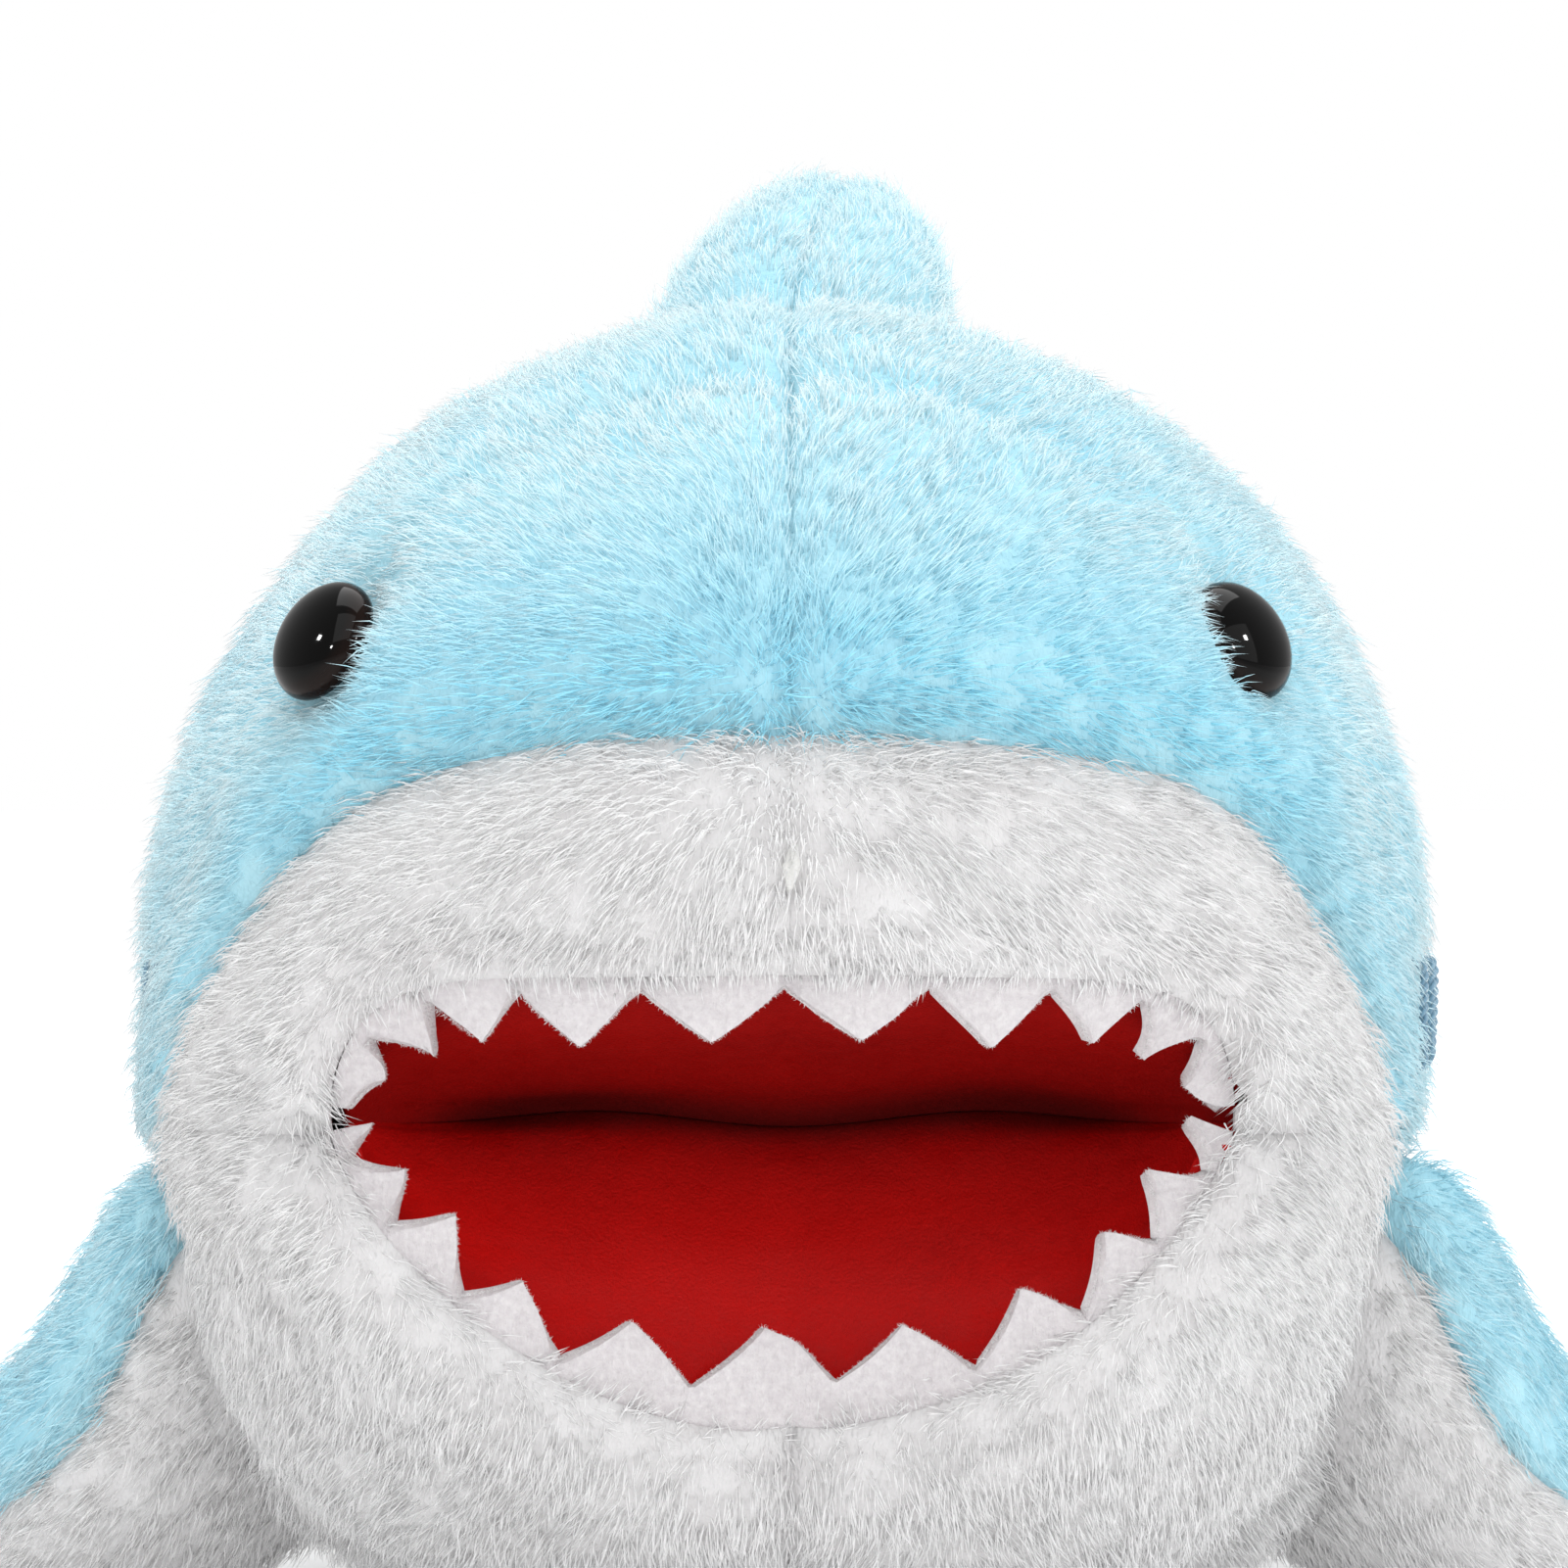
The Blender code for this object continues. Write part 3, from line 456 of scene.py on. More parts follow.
def trunk_level(points, inset=0.0):
    """Below 0 inside the trunk, above 0 outside it."""
    y = points[:, 1] - FULL_Y
    ahead = np.clip(-y / (FRONT_REACH - inset), 0.0, 1.0)
    half_width, half_up, half_down, centre = trunk_section(y)
    lift = points[:, 2] - centre
    width = half_width - inset
    height = np.where(lift > 0.0, half_up, half_down) - inset
    ratio = np.abs(lift) / height / np.maximum(np.abs(points[:, 0]) / width, 1e-9)
    square = np.full(len(points), 2.0)
    for _ in range(4):
        slope = np.minimum(ratio, 1e4) ** (square / 2.0)
        below = np.where(lift < 0.0, slope / np.sqrt(1.0 + slope**2), 0.0)
        square = mix(2.0, BELLY_SQUARE + CHIN_SQUARE * ahead, smooth(below / 0.5))
    blunt = FRONT_ROUND + CHIN_ROUND * below
    size = np.where(y <= 0.0, np.maximum(1e-4, 1.0 - ahead**blunt) ** (1.0 / blunt), 1.0)
    across = np.abs(points[:, 0]) / (width * size)
    up = np.abs(lift) / (height * size)
    past = np.where(y > TRUNK_END_Y, 10.0, 0.0)
    return across**square + up**square - 1.0 + past


def seam_z(y):
    """Height of the line where blue meets white."""
    return SEAM_REAR_Z + (SEAM_FRONT_Z - SEAM_REAR_Z) / (1.0 + np.exp((y - SEAM_MID_Y) / SEAM_RUN))


def behind(points):
    """How far the points are behind the fullest section."""
    return points[:, 1] - FULL_Y


def above_seam(points):
    return points[:, 2] - seam_z(behind(points))


def lip_heights(x):
    """Heights of the upper and the lower lip line where they cross the trunk's face."""
    share = np.minimum(np.abs(x) / MOUTH_HALF_WIDTH, 1.0)
    upper = (1.0 - share ** UPPER_SQUARE[0]) ** UPPER_SQUARE[1]
    lower = (1.0 - share ** LOWER_SQUARE[0]) ** LOWER_SQUARE[1]
    return mix(CORNER_Z, UPPER_LIP_Z, upper), mix(CORNER_Z, LOWER_LIP_Z, lower)


def face_y(x, z):
    """Where the cloth's face is, in Y, at these places across and heights."""

    def outside(y):
        return trunk_level(np.stack([x, y, z], axis=1), BACKING_INSET) > 0.0

    return narrowed(np.full(len(x), FULL_Y - FRONT_REACH), np.full(len(x), FULL_Y), outside)[1]


LIP_XS = np.linspace(-MOUTH_HALF_WIDTH, MOUTH_HALF_WIDTH, 257)
LIP_YS = [face_y(LIP_XS, z) for z in lip_heights(LIP_XS)]


def crease_line(share, lip_y):
    """The crease between palate and tongue: at the hinge, and nearly at the lip in the mouth's corners."""
    return mix(HINGE_Y, lip_y, 0.97 * share**6)


def mouth_sheets(x, y):
    """Heights of the palate and of the tongue, which run from the crease to the lips."""
    share = np.minimum(np.abs(x) / MOUTH_HALF_WIDTH, 1.0)
    lips = lip_heights(x)
    wave = -CREASE_WAVE * np.cos(x * 2.0 * math.pi / CREASE_WAVE_LENGTH) * (1.0 - share**4)
    crease_z = mix(CREASE_Z + wave, CORNER_Z, share**4)
    made = []
    for lip_z, lip_ys, curve in zip(lips, LIP_YS, (0.60, 0.85)):
        lip_y = np.interp(x, LIP_XS, lip_ys)
        crease_y = crease_line(share, lip_y)
        depth = np.clip((crease_y - y) / np.maximum(crease_y - lip_y, 1e-4), 0.0, 1.15)
        depth = 1.06 * depth**2 / (depth + 0.06)
        made.append(mix(crease_z, lip_z, depth**curve))
    return made


def mouth_level(points):
    """Below 0 in the mouth; outside it, about the distance from its edge."""
    palate, tongue = mouth_sheets(points[:, 0], points[:, 1])
    level = np.maximum(points[:, 2] - palate, tongue - points[:, 2])
    level = np.maximum(level, points[:, 1] - HINGE_Y)
    past = np.maximum(np.abs(points[:, 0]) - MOUTH_HALF_WIDTH, 0.0)
    return np.where(past > 0.0, np.hypot(np.maximum(level, 0.0), past), level)


def trunk_outward(points):
    """The way out of the trunk's face."""
    step = 0.0005
    slopes = [
        trunk_level(points + step * way, BACKING_INSET) - trunk_level(points - step * way, BACKING_INSET)
        for way in np.eye(3)
    ]
    return rows(np.stack(slopes, axis=1))


def eye_frame(side):
    """A frame on the fabric at the eye, with z outwards."""
    reach = 0.5
    for _ in range(30):
        height = (EYE_Z - CENTRE_Z - NOSE_RISE * reach**2) / HEIGHT_UP
        ring = math.hypot(EYE_X / HALF_WIDTH, height)
        reach = (1.0 - ring**FRONT_ROUND) ** (1.0 / FRONT_ROUND)
    outward = Vector((side * EYE_X / HALF_WIDTH**2, -reach / FRONT_REACH, height / HEIGHT_UP)).normalized()
    place = Vector((side * EYE_X, FULL_Y - FRONT_REACH * reach, EYE_Z))
    place.x -= LEFT_EYE_SHIFT if side > 0 else 0.0
    place -= EYE_SUNK * outward + Vector((0.0, 0.0, EYE_DROP))
    return Matrix.Translation(place) @ outward.to_track_quat("Z", "Y").to_matrix().to_4x4()


def flipper_law(side, inset):
    legs = list(zip(FLIPPER_ROOT, FLIPPER_BEND, FLIPPER_TIP))
    root_r = FLIPPER_ROOT_RADIUS - inset
    half_chord = FLIPPER_HALF_CHORD - inset

    def law(unit):
        ring = np.maximum(np.hypot(unit[:, 0], unit[:, 1]), 1e-9)
        chord, thick = unit[:, 1] / ring, unit[:, 0] / ring
        reach = 2.0 * np.arcsin(np.clip(unit[:, 2], -1.0, 1.0)) / math.pi
        inside = np.maximum(-reach, 0.0) * math.pi / 2
        s = np.maximum(reach, 0.0) * (1.0 - inset / FLIPPER_LENGTH)
        point = [(1 - s) ** 2 * a + 2 * s * (1 - s) * b + s * s * c for a, b, c in legs]
        slope = [2 * (1 - s) * (b - a) + 2 * s * (c - b) for a, b, c in legs]
        length = np.hypot(*slope)
        way = (slope[0] / length, slope[1] / length)
        blade = np.sqrt(np.maximum(0.0, 1.0 - np.maximum(reach, 0.0) ** FLIPPER_FULLNESS))
        size = np.where(reach <= 0.0, np.cos(inside), blade)
        half_thick = mix(root_r, FLIPPER_TIP_RADIUS - inset, smooth(reach)) * size
        y = half_chord * mix(1.0, FLIPPER_TIP_SHARE, np.maximum(reach, 0.0)) * size * chord
        twist = FLIPPER_TWIST * (1.0 - 0.8 * smooth(reach / 0.6))
        across = half_thick * thick - y * np.tan(twist)
        back = -np.sin(inside) * root_r
        x = point[0] + way[0] * back - way[1] * across
        z = point[1] + way[1] * back + way[0] * across
        y = SHOULDER[1] - FLIPPER_AHEAD + y + FLIPPER_SWEEP * s**2
        return np.stack([side * x, y, np.maximum(z, 0.001 + inset)], axis=1)

    return law


def fin_frame():
    leaning = Matrix.Rotation(FIN_SLOPE, 4, "X") @ Matrix.Rotation(FIN_LEAN, 4, "Y")
    return Matrix.Translation(Vector(FIN_PLACE)) @ leaning


def placed(matrix, points):
    matrix = np.array(matrix)
    return points @ matrix[:3, :3].T + matrix[:3, 3]


def fin_law(inset):
    radius, half_chord = FIN_ROOT_RADIUS - inset, FIN_HALF_CHORD - inset

    def law(unit):
        rise = np.clip(unit[:, 2], 0.0, 0.99999)
        fuller = np.sqrt(1.0 - rise**FIN_FULLNESS) / np.sqrt(1.0 - rise**2)
        x = unit[:, 0] * radius * fuller
        y = unit[:, 1] * half_chord * fuller * mix(1.0, FIN_TIP_SHARE, rise) + FIN_SWEEP * rise**1.5
        z = np.where(unit[:, 2] > 0.0, (FIN_HEIGHT - inset) * rise, unit[:, 2] * radius)
        x = x + FIN_SIDEWAYS * rise**1.5
        return placed(fin_frame(), np.stack([x, y, z], axis=1))

    return law


def stem_law(inset):
    def law(unit):
        ball = TAIL_BALL - inset
        ring = np.maximum(np.hypot(unit[:, 0], unit[:, 2]), 1e-9)
        across, up = unit[:, 0] / ring, unit[:, 2] / ring
        reach = 2.0 * np.arcsin(np.clip(unit[:, 1], 0.0, 1.0)) / math.pi
        share = smooth(reach)
        close = np.sqrt(np.maximum(0.0, 1.0 - reach**9))
        width = (mix(TAIL_BALL, STEM_END_HALF_WIDTH, share) - inset) * close * across
        height = (mix(TAIL_BALL, STEM_END_HALF_HEIGHT, share) - inset) * close * up
        y = TAIL_Y + (STEM_END_Y + FULL_Y - TAIL_Y - inset) * reach
        stem = np.stack([width, y, mix(TAIL_Z, STEM_END_Z, share) + height], axis=1)
        front = unit * ball + np.array([0.0, TAIL_Y, TAIL_Z])
        return np.where(unit[:, 1:2] <= 0.0, front, stem)

    return law


def tail_fin_law(inset):
    def law(unit):
        span = unit[:, 2] * (1.0 - inset / TAIL_FIN_HALF_SPAN)
        lobe = np.where(span > 0.0, 1.0, 0.86)
        y = TAIL_FIN_Y + TAIL_FIN_SWEEP * np.abs(span) ** 1.6 * lobe
        y = y + unit[:, 1] * (TAIL_FIN_HALF_CHORD - inset)
        z = TAIL_FIN_Z + span * TAIL_FIN_HALF_SPAN * lobe
        return np.stack([unit[:, 0] * (TAIL_FIN_HALF_THICKNESS - inset), FULL_Y + y, z], axis=1)

    return law


# --- Materials ---


class Nodes:
    """Adds nodes to a material in few words."""

    def __init__(self, name, colour, roughness):
        self.material = bpy.data.materials.new(name)
        self.material.use_nodes = True
        self.material.diffuse_color = (*colour, 1.0)
        self.tree = self.material.node_tree
        self.shader = self.tree.nodes.get("Principled BSDF")
        self.shader.inputs["Base Color"].default_value = (*colour, 1.0)
        self.shader.inputs["Roughness"].default_value = roughness
        self.place = None

    def add(self, kind, inputs=None, **settings):
        node = self.tree.nodes.new(kind)
        for key, value in settings.items():
            setattr(node, key, value)
        for key, value in (inputs or {}).items():
            self.feed(node.inputs[key], value)
        return node

    def feed(self, socket, value):
        if isinstance(value, bpy.types.NodeSocket):
            self.tree.links.new(value, socket)
        else:
            socket.default_value = value

    def coordinates(self):
        if self.place is None:
            self.place = self.add("ShaderNodeTexCoord").outputs["Object"]
        return self.place

    def noise(self, scale, detail=3.0, rough=0.55, stretch=None):
        where = self.coordinates()
        if stretch:
            where = self.add("ShaderNodeMapping", {"Vector": where, "Scale": stretch}).outputs[0]
        found = self.add(
            "ShaderNodeTexNoise", {"Vector": where, "Scale": scale, "Detail": detail, "Roughness": rough}
        )
        return found.outputs["Fac"]

    def attribute(self, name):
        return self.add("ShaderNodeAttribute", attribute_name=name).outputs["Fac"]

    def total(self, first, second):
        return self.add("ShaderNodeMath", {0: first, 1: second}, operation="ADD").outputs[0]

    def ramp(self, value, low, high, to_low=0.0, to_high=1.0):
        found = self.add(
            "ShaderNodeMapRange",
            {"Value": value, "From Min": low, "From Max": high, "To Min": to_low, "To Max": to_high},
        )
        return found.outputs[0]

    def blend(self, share, first, second):
        node = self.tree.nodes.new("ShaderNodeMix")
        node.data_type = "RGBA"
        self.feed(node.inputs["Factor"], share)
        for socket, colour in ((node.inputs[6], first), (node.inputs[7], second)):
            self.feed(socket, (*colour, 1.0) if isinstance(colour, tuple) else colour)
        return node.outputs[2]

    def bump(self, height, distance, strength=1.0):
        found = self.add("ShaderNodeBump", {"Height": height, "Distance": distance, "Strength": strength})
        return found.outputs[0]

    def mottled(self, grain, edges, first, second, roughness):
        """A colour and a roughness that both follow one noise."""
        colour = self.blend(self.ramp(grain, *edges), first, second)
        return {"Base Color": colour, "Roughness": self.ramp(grain, 0.3, 0.7, *roughness)}

    def shade(self, inputs):
        """Feeds the shader, which finishes the material."""
        for key, value in inputs.items():
            self.feed(self.shader.inputs[key], value)
        return self.material


def pile_material(name, root, middle, tip, deep):
    """Fibres: darker at the root, pale at the tip, with their colour uneven from place to place, and the
    deep colour blended in where the depth attribute asks, which on the trunk is partly painted shade.
    """
    m = Nodes(name, middle, 0.82)
    along = m.attribute("along")
    colour = m.blend(m.ramp(along, 0.0, 0.55), root, middle)
    colour = m.blend(m.ramp(along, 0.50, 1.0), colour, tip)
    colour = m.blend(m.ramp(m.attribute("tint"), 0.0, 1.0, 0.0, 0.85), colour, tip)
    # the depth attribute's deep colour: on the trunk partly darker-dyed pile lying flat, partly painted
    # shade at the seam
    colour = m.blend(m.ramp(m.attribute("depth"), 0.0, 1.0, 0.0, 0.9), colour, deep)
    colour = m.blend(m.ramp(m.noise(28.0), 0.42, 0.70, 0.0, 0.30), colour, deep)
    soft = {"Sheen Weight": 0.35, "Sheen Roughness": 0.45, "Specular IOR Level": 0.25}
    return m.shade({"Base Color": colour, **soft})


def backing_material(name, colour, deep):
    """The cloth that the pile is woven into: a fine uneven knit."""
    m = Nodes(name, colour, 0.95)
    patch = m.noise(60.0, 4.0)
    knit = m.noise(900.0, 2.0, stretch=(1.0, 1.0, 0.45))
    patchy = m.blend(m.ramp(patch, 0.35, 0.70), colour, deep)
    rough = m.ramp(knit, 0.3, 0.7, 0.85, 1.0)
    return m.shade({"Base Color": patchy, "Roughness": rough, "Normal": m.bump(knit, 0.0008)})


def lining_material(name, painted_shade_scale):
    """Smooth red cloth with a short nap. The given share scales its red down as painted shade, and an
    attribute adds painted shade deep in the crease between palate and tongue.
    """
    m = Nodes(name, (0.42 * painted_shade_scale, 0.002 * painted_shade_scale, 0.0008), 0.85)
    nap = m.noise(260.0, 5.0, 0.65)
    weave = m.noise(1800.0, 2.0, stretch=(1.0, 0.5, 1.0))
    patch = m.noise(22.0, 3.0)
    bright, dark = (0.48 * painted_shade_scale, 0.0012, 0.0004), (0.38 * painted_shade_scale, 0.0006, 0.0003)
    colour = m.blend(m.ramp(patch, 0.35, 0.68), bright, dark)
    colour = m.blend(m.ramp(nap, 0.40, 0.75, 0.0, 0.35), colour, (0.55 * painted_shade_scale, 0.0022, 0.0008))
    # painted shade deep in the crease, where palate and tongue meet
    colour = m.blend(m.ramp(m.attribute("fold"), 0.0, 1.0, 0.0, 0.85), colour, (0.05, 0.0004, 0.0002))
    rough = m.ramp(nap, 0.3, 0.7, 0.62, 0.86)
    raised = m.bump(m.total(nap, weave), 0.0006, 0.6)
    return m.shade({"Base Color": colour, "Roughness": rough, "Normal": raised, "Specular IOR Level": 0.12})


def felt_material():
    """Pressed white felt: matted fibres, with painted shade that greys it a little in its hollows."""
    m = Nodes("white_felt_cloth", (0.80, 0.77, 0.785), 0.95)
    matted = m.noise(700.0, 6.0, 0.7)
    hairs = m.noise(420.0, 4.0, 0.6, stretch=(3.0, 1.0, 0.6))
    # painted shade: the colour is greyer where the matted noise is low, which are the hollows of the bump
    # below
    colour = m.blend(m.ramp(matted, 0.35, 0.68), (0.60, 0.565, 0.585), (0.74, 0.715, 0.725))
    rough = m.ramp(hairs, 0.3, 0.7, 0.88, 1.0)
    raised = m.bump(m.total(matted, hairs), 0.0007)
    return m.shade({"Base Color": colour, "Roughness": rough, "Normal": raised, "Sheen Weight": 0.25})


def eye_material():
    """Glossy black plastic with fine handling marks; the dark brown towards its edge is a painted
    reflection.
    """
    m = Nodes("black_eye_plastic", (0.006, 0.004, 0.004), 0.05)
    # painted reflection: brown towards the dome's rim
    edge = m.ramp(m.attribute("edge"), 0.80, 1.0)
    colour = m.blend(edge, (0.0006, 0.0005, 0.0005), (0.010, 0.004, 0.0025))
    rough = m.ramp(m.noise(300.0, 4.0), 0.35, 0.75, 0.03, 0.09)
    return m.shade({"Base Color": colour, "Roughness": rough, "Specular IOR Level": 0.12})


def washer_material():
    m = Nodes("white_moulded_plastic", (0.75, 0.75, 0.72), 0.40)
    grain = m.noise(500.0)
    look = m.mottled(grain, (0.3, 0.7), (0.70, 0.70, 0.67), (0.80, 0.80, 0.77), (0.35, 0.5))
    return m.shade({**look, "Normal": m.bump(grain, 0.0002)})


def thread_material():
    """Twisted grey-blue embroidery thread."""
    m = Nodes("gill_embroidery_thread", (0.16, 0.29, 0.39), 0.6)
    twist = m.noise(1500.0, 2.0, stretch=(1.0, 1.0, 0.3))
    look = m.mottled(twist, (0.35, 0.65), (0.12, 0.24, 0.34), (0.20, 0.34, 0.44), (0.5, 0.75))
    return m.shade({**look, "Sheen Weight": 0.3})


def fill_material():
    """Loose polyester fibre."""
    m = Nodes("polyester_fibre_fill", (0.88, 0.88, 0.86), 1.0)
    wisps = m.noise(120.0, 6.0, 0.7)
    look = m.mottled(wisps, (0.35, 0.7), (0.78, 0.78, 0.76), (0.92, 0.92, 0.90), (0.9, 1.0))
    return m.shade({**look, "Normal": m.bump(wisps, 0.003)})


BLUE_PILE = pile_material(
    "blue_pile_fibre", (0.52, 0.74, 0.80), (0.63, 0.81, 0.855), (0.80, 0.885, 0.91), (0.28, 0.71, 0.86)
)
WHITE_PILE = pile_material(
    "white_pile_fibre", (0.77, 0.765, 0.765), (0.81, 0.81, 0.815), (0.86, 0.86, 0.865), (0.75, 0.74, 0.74)
)
# The backings are coloured darker than their pile, as painted shade deep among the fibres, which cast no
# shadows.
BLUE_BACKING = backing_material("blue_backing_knit", (0.38, 0.63, 0.71), (0.30, 0.58, 0.69))
WHITE_BACKING = backing_material("white_backing_knit", (0.64, 0.635, 0.64), (0.58, 0.57, 0.575))
# The palate is the same red cloth as the tongue; its darker red is painted shade, since it faces down, away
# from the light.
PALATE_LINING = lining_material("deep_red_lining_cloth", 0.56)
TONGUE_LINING = lining_material("red_lining_cloth", 1.0)
FELT = felt_material()
EYE_PLASTIC = eye_material()
WASHER_PLASTIC = washer_material()
THREAD = thread_material()
FIBRE_FILL = fill_material()
PILES = {"blue": (BLUE_PILE, "blue_fur"), "white": (WHITE_PILE, "white_fur")}
BACKINGS = {"blue": BLUE_BACKING, "white": WHITE_BACKING}


# --- Pile ---


def fibre_object(name, roots, middles, tips, radii, tint, depth, material):
    """Closed three-sided fibres that bend once and end in a point."""
    count = len(roots)
    along = rows(tips - roots)
    across = rows(np.cross(along, np.array([0.31, 0.52, 0.79])))
    other = np.cross(along, across)
    points = np.empty((count, 7, 3))
    for k in range(3):
        turn = 2.0 * math.pi * k / 3.0
        out = across * math.cos(turn) + other * math.sin(turn)
        points[:, k] = roots + out * radii[:, None]
        points[:, 3 + k] = middles + out * radii[:, None] * 0.72
    points[:, 6] = tips
    points[:, :, 2] = np.maximum(points[:, :, 2], FLOOR)
    first = np.arange(count)[:, None, None] * 7
    quads = np.array([(0, 1, 4, 3), (1, 2, 5, 4), (2, 0, 3, 5)])
    tris = np.array([(3, 4, 6), (4, 5, 6), (5, 3, 6), (2, 1, 0)])
    faces = [(first + quads).reshape(-1, 4), (first + tris).reshape(-1, 3)]
    made = new_mesh(name, points.reshape(-1, 3), faces, [material])
    made.visible_shadow = False  # they are thicker than real ones, whose shadows are far softer
    paint(made, "along", np.tile(np.array([0.0, 0.0, 0.0, 0.5, 0.5, 0.5, 1.0]), count))
    paint(made, "tint", np.repeat(tint, 7))
    paint(made, "depth", np.repeat(depth, 7))
    return made


def tuft_places(surface, density, seed):
    """Places of tufts, spread by area: points, their places before the fabric was drawn in, normals."""
    rng = np.random.default_rng(seed)
    corners = surface.points[surface.tris]
    area = np.linalg.norm(np.cross(corners[:, 1] - corners[:, 0], corners[:, 2] - corners[:, 0]), axis=1) / 2
    weight = area * density(corners.mean(axis=1))
    count = int(weight.sum())
    chosen = rng.choice(len(area), size=count, p=weight / weight.sum())
    u, v = rng.random(count), rng.random(count)
    folded = u + v > 1.0
    u, v = np.where(folded, 1.0 - u, u), np.where(folded, 1.0 - v, v)
    shares = np.stack([1.0 - u - v, u, v], axis=1)[:, :, None]
    normals = surface.normals()
    picked = surface.tris[chosen]
    return (
        (surface.points[picked] * shares).sum(axis=1),
        (surface.rest[picked] * shares).sum(axis=1),
        rows((normals[picked] * shares).sum(axis=1)),
    )


class Tufts:
    """Tufts with a way to lie, a length and a tint each."""

    def __init__(self, surface, density, seed, flow, lift, length=None, depth=None):
        self.points, self.rest, self.normals = tuft_places(surface, density, seed)
        rng = np.random.default_rng(seed + 1)
        count = len(self.points)
        way = flow(self.points) + NAP_WANDER * lump_vectors(self.points, NAP_LUMP, seed)
        way += NAP_SCATTER * rng.normal(size=(count, 3))
        way -= dots(way, self.normals) * self.normals
        self.way = rows(way)
        self.length = np.full(count, PILE) if length is None else PILE * length(self.rest)
        self.length = self.length * rng.uniform(0.82, 1.15, count)
        standing = NOSE_LIFT * bell(distance(self.points, NOSE), 0.028)
        self.lift = np.clip(lift + standing + LIFT_SCATTER * rng.normal(size=count), 0.1, 0.9)
        self.tint = np.clip(TINT + TINT_SCATTER * rng.normal(size=count), 0.0, 1.0)
        self.depth = np.zeros(count) if depth is None else depth(self.rest)
        self.seed = seed

    def take(self, chosen):
        made = object.__new__(Tufts)
        for key, value in self.__dict__.items():
            made.__dict__[key] = value if key == "seed" else value[chosen]
        return made

    def grow(self, name, colour, thick=1.0):
        """The tufts as pieces of at most MOST_FIBRES fibres: fibres start round each tuft and gather at its
        tip.
        """
        parts = -(-len(self.points) * TUFT_FIBRES // MOST_FIBRES)
        made = []
        for k in range(parts):
            chosen = np.arange(len(self.points)) % parts == k
            label = f"{name}_{k + 1}" if parts > 1 else name
            made.append(self.take(chosen).grown(label, colour, thick, k))
        return made

    def grown(self, name, colour, thick, number):
        rng = np.random.default_rng(self.seed + 100 * number + 2)
        count = len(self.points) * TUFT_FIBRES

        def each(values):
            return np.repeat(values, TUFT_FIBRES, axis=0)

        normals, way = each(self.normals), each(self.way)
        across = np.cross(normals, way)
        aside = TUFT_SPREAD * thick * rng.normal(size=(count, 2))
        offset = way * aside[:, :1] + across * aside[:, 1:]
        length = (each(self.length) * rng.uniform(0.70, 1.12, count))[:, None]
        lift = each(self.lift)[:, None] * rng.uniform(0.75, 1.25, (count, 1))
        stray = 0.10 * rng.normal(size=(count, 3))
        rising = rows(way * (1.0 - lift) + normals * lift * 1.5 + stray)
        laid = rows(way * (1.25 - lift) + normals * lift * 0.55 + stray - np.array([0.0, 0.0, 0.10]))
        roots = each(self.points) + offset - normals * 0.0008
        middles = roots + rising * length * 0.48 - offset * TUFT_GATHER * 0.5
        tips = middles + laid * length * 0.52 - offset * TUFT_GATHER * 0.5
        radii = FIBRE * thick * rng.uniform(0.75, 1.25, count)
        tint = np.clip(each(self.tint) + FIBRE_TINT_SCATTER * rng.normal(size=count), 0.0, 1.0)
        material, slot_name = PILES[colour]
        made = fibre_object(name, roots, middles, tips, radii, tint, each(self.depth), material)
        return made


def dress(piece, slot_name, body=None, nodes=()):
    """Attaches the piece to the body it rides on and hides the CAD nodes that it stands for; slot_name, what
    it is made of, is not used.
    """
    if body:
        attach(piece, body)
    if nodes:
        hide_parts(*nodes)


# --- Trunk, cheeks and chin ---

EYES = {word: eye_frame(side) for word, side in SIDES}
EYE_PLACES = {word: np.array(matrix.translation) for word, matrix in EYES.items()}
GILL_YS = (-0.048, -0.035, -0.022)
GILL_Z = 0.124
GILL_HALF_HEIGHT = 0.013


def on_the_left(points):
    """The points, with those on the right side mirrored to the left."""
    return np.abs(points) * (1.0, 0.0, 0.0) + points * (0.0, 1.0, 1.0)


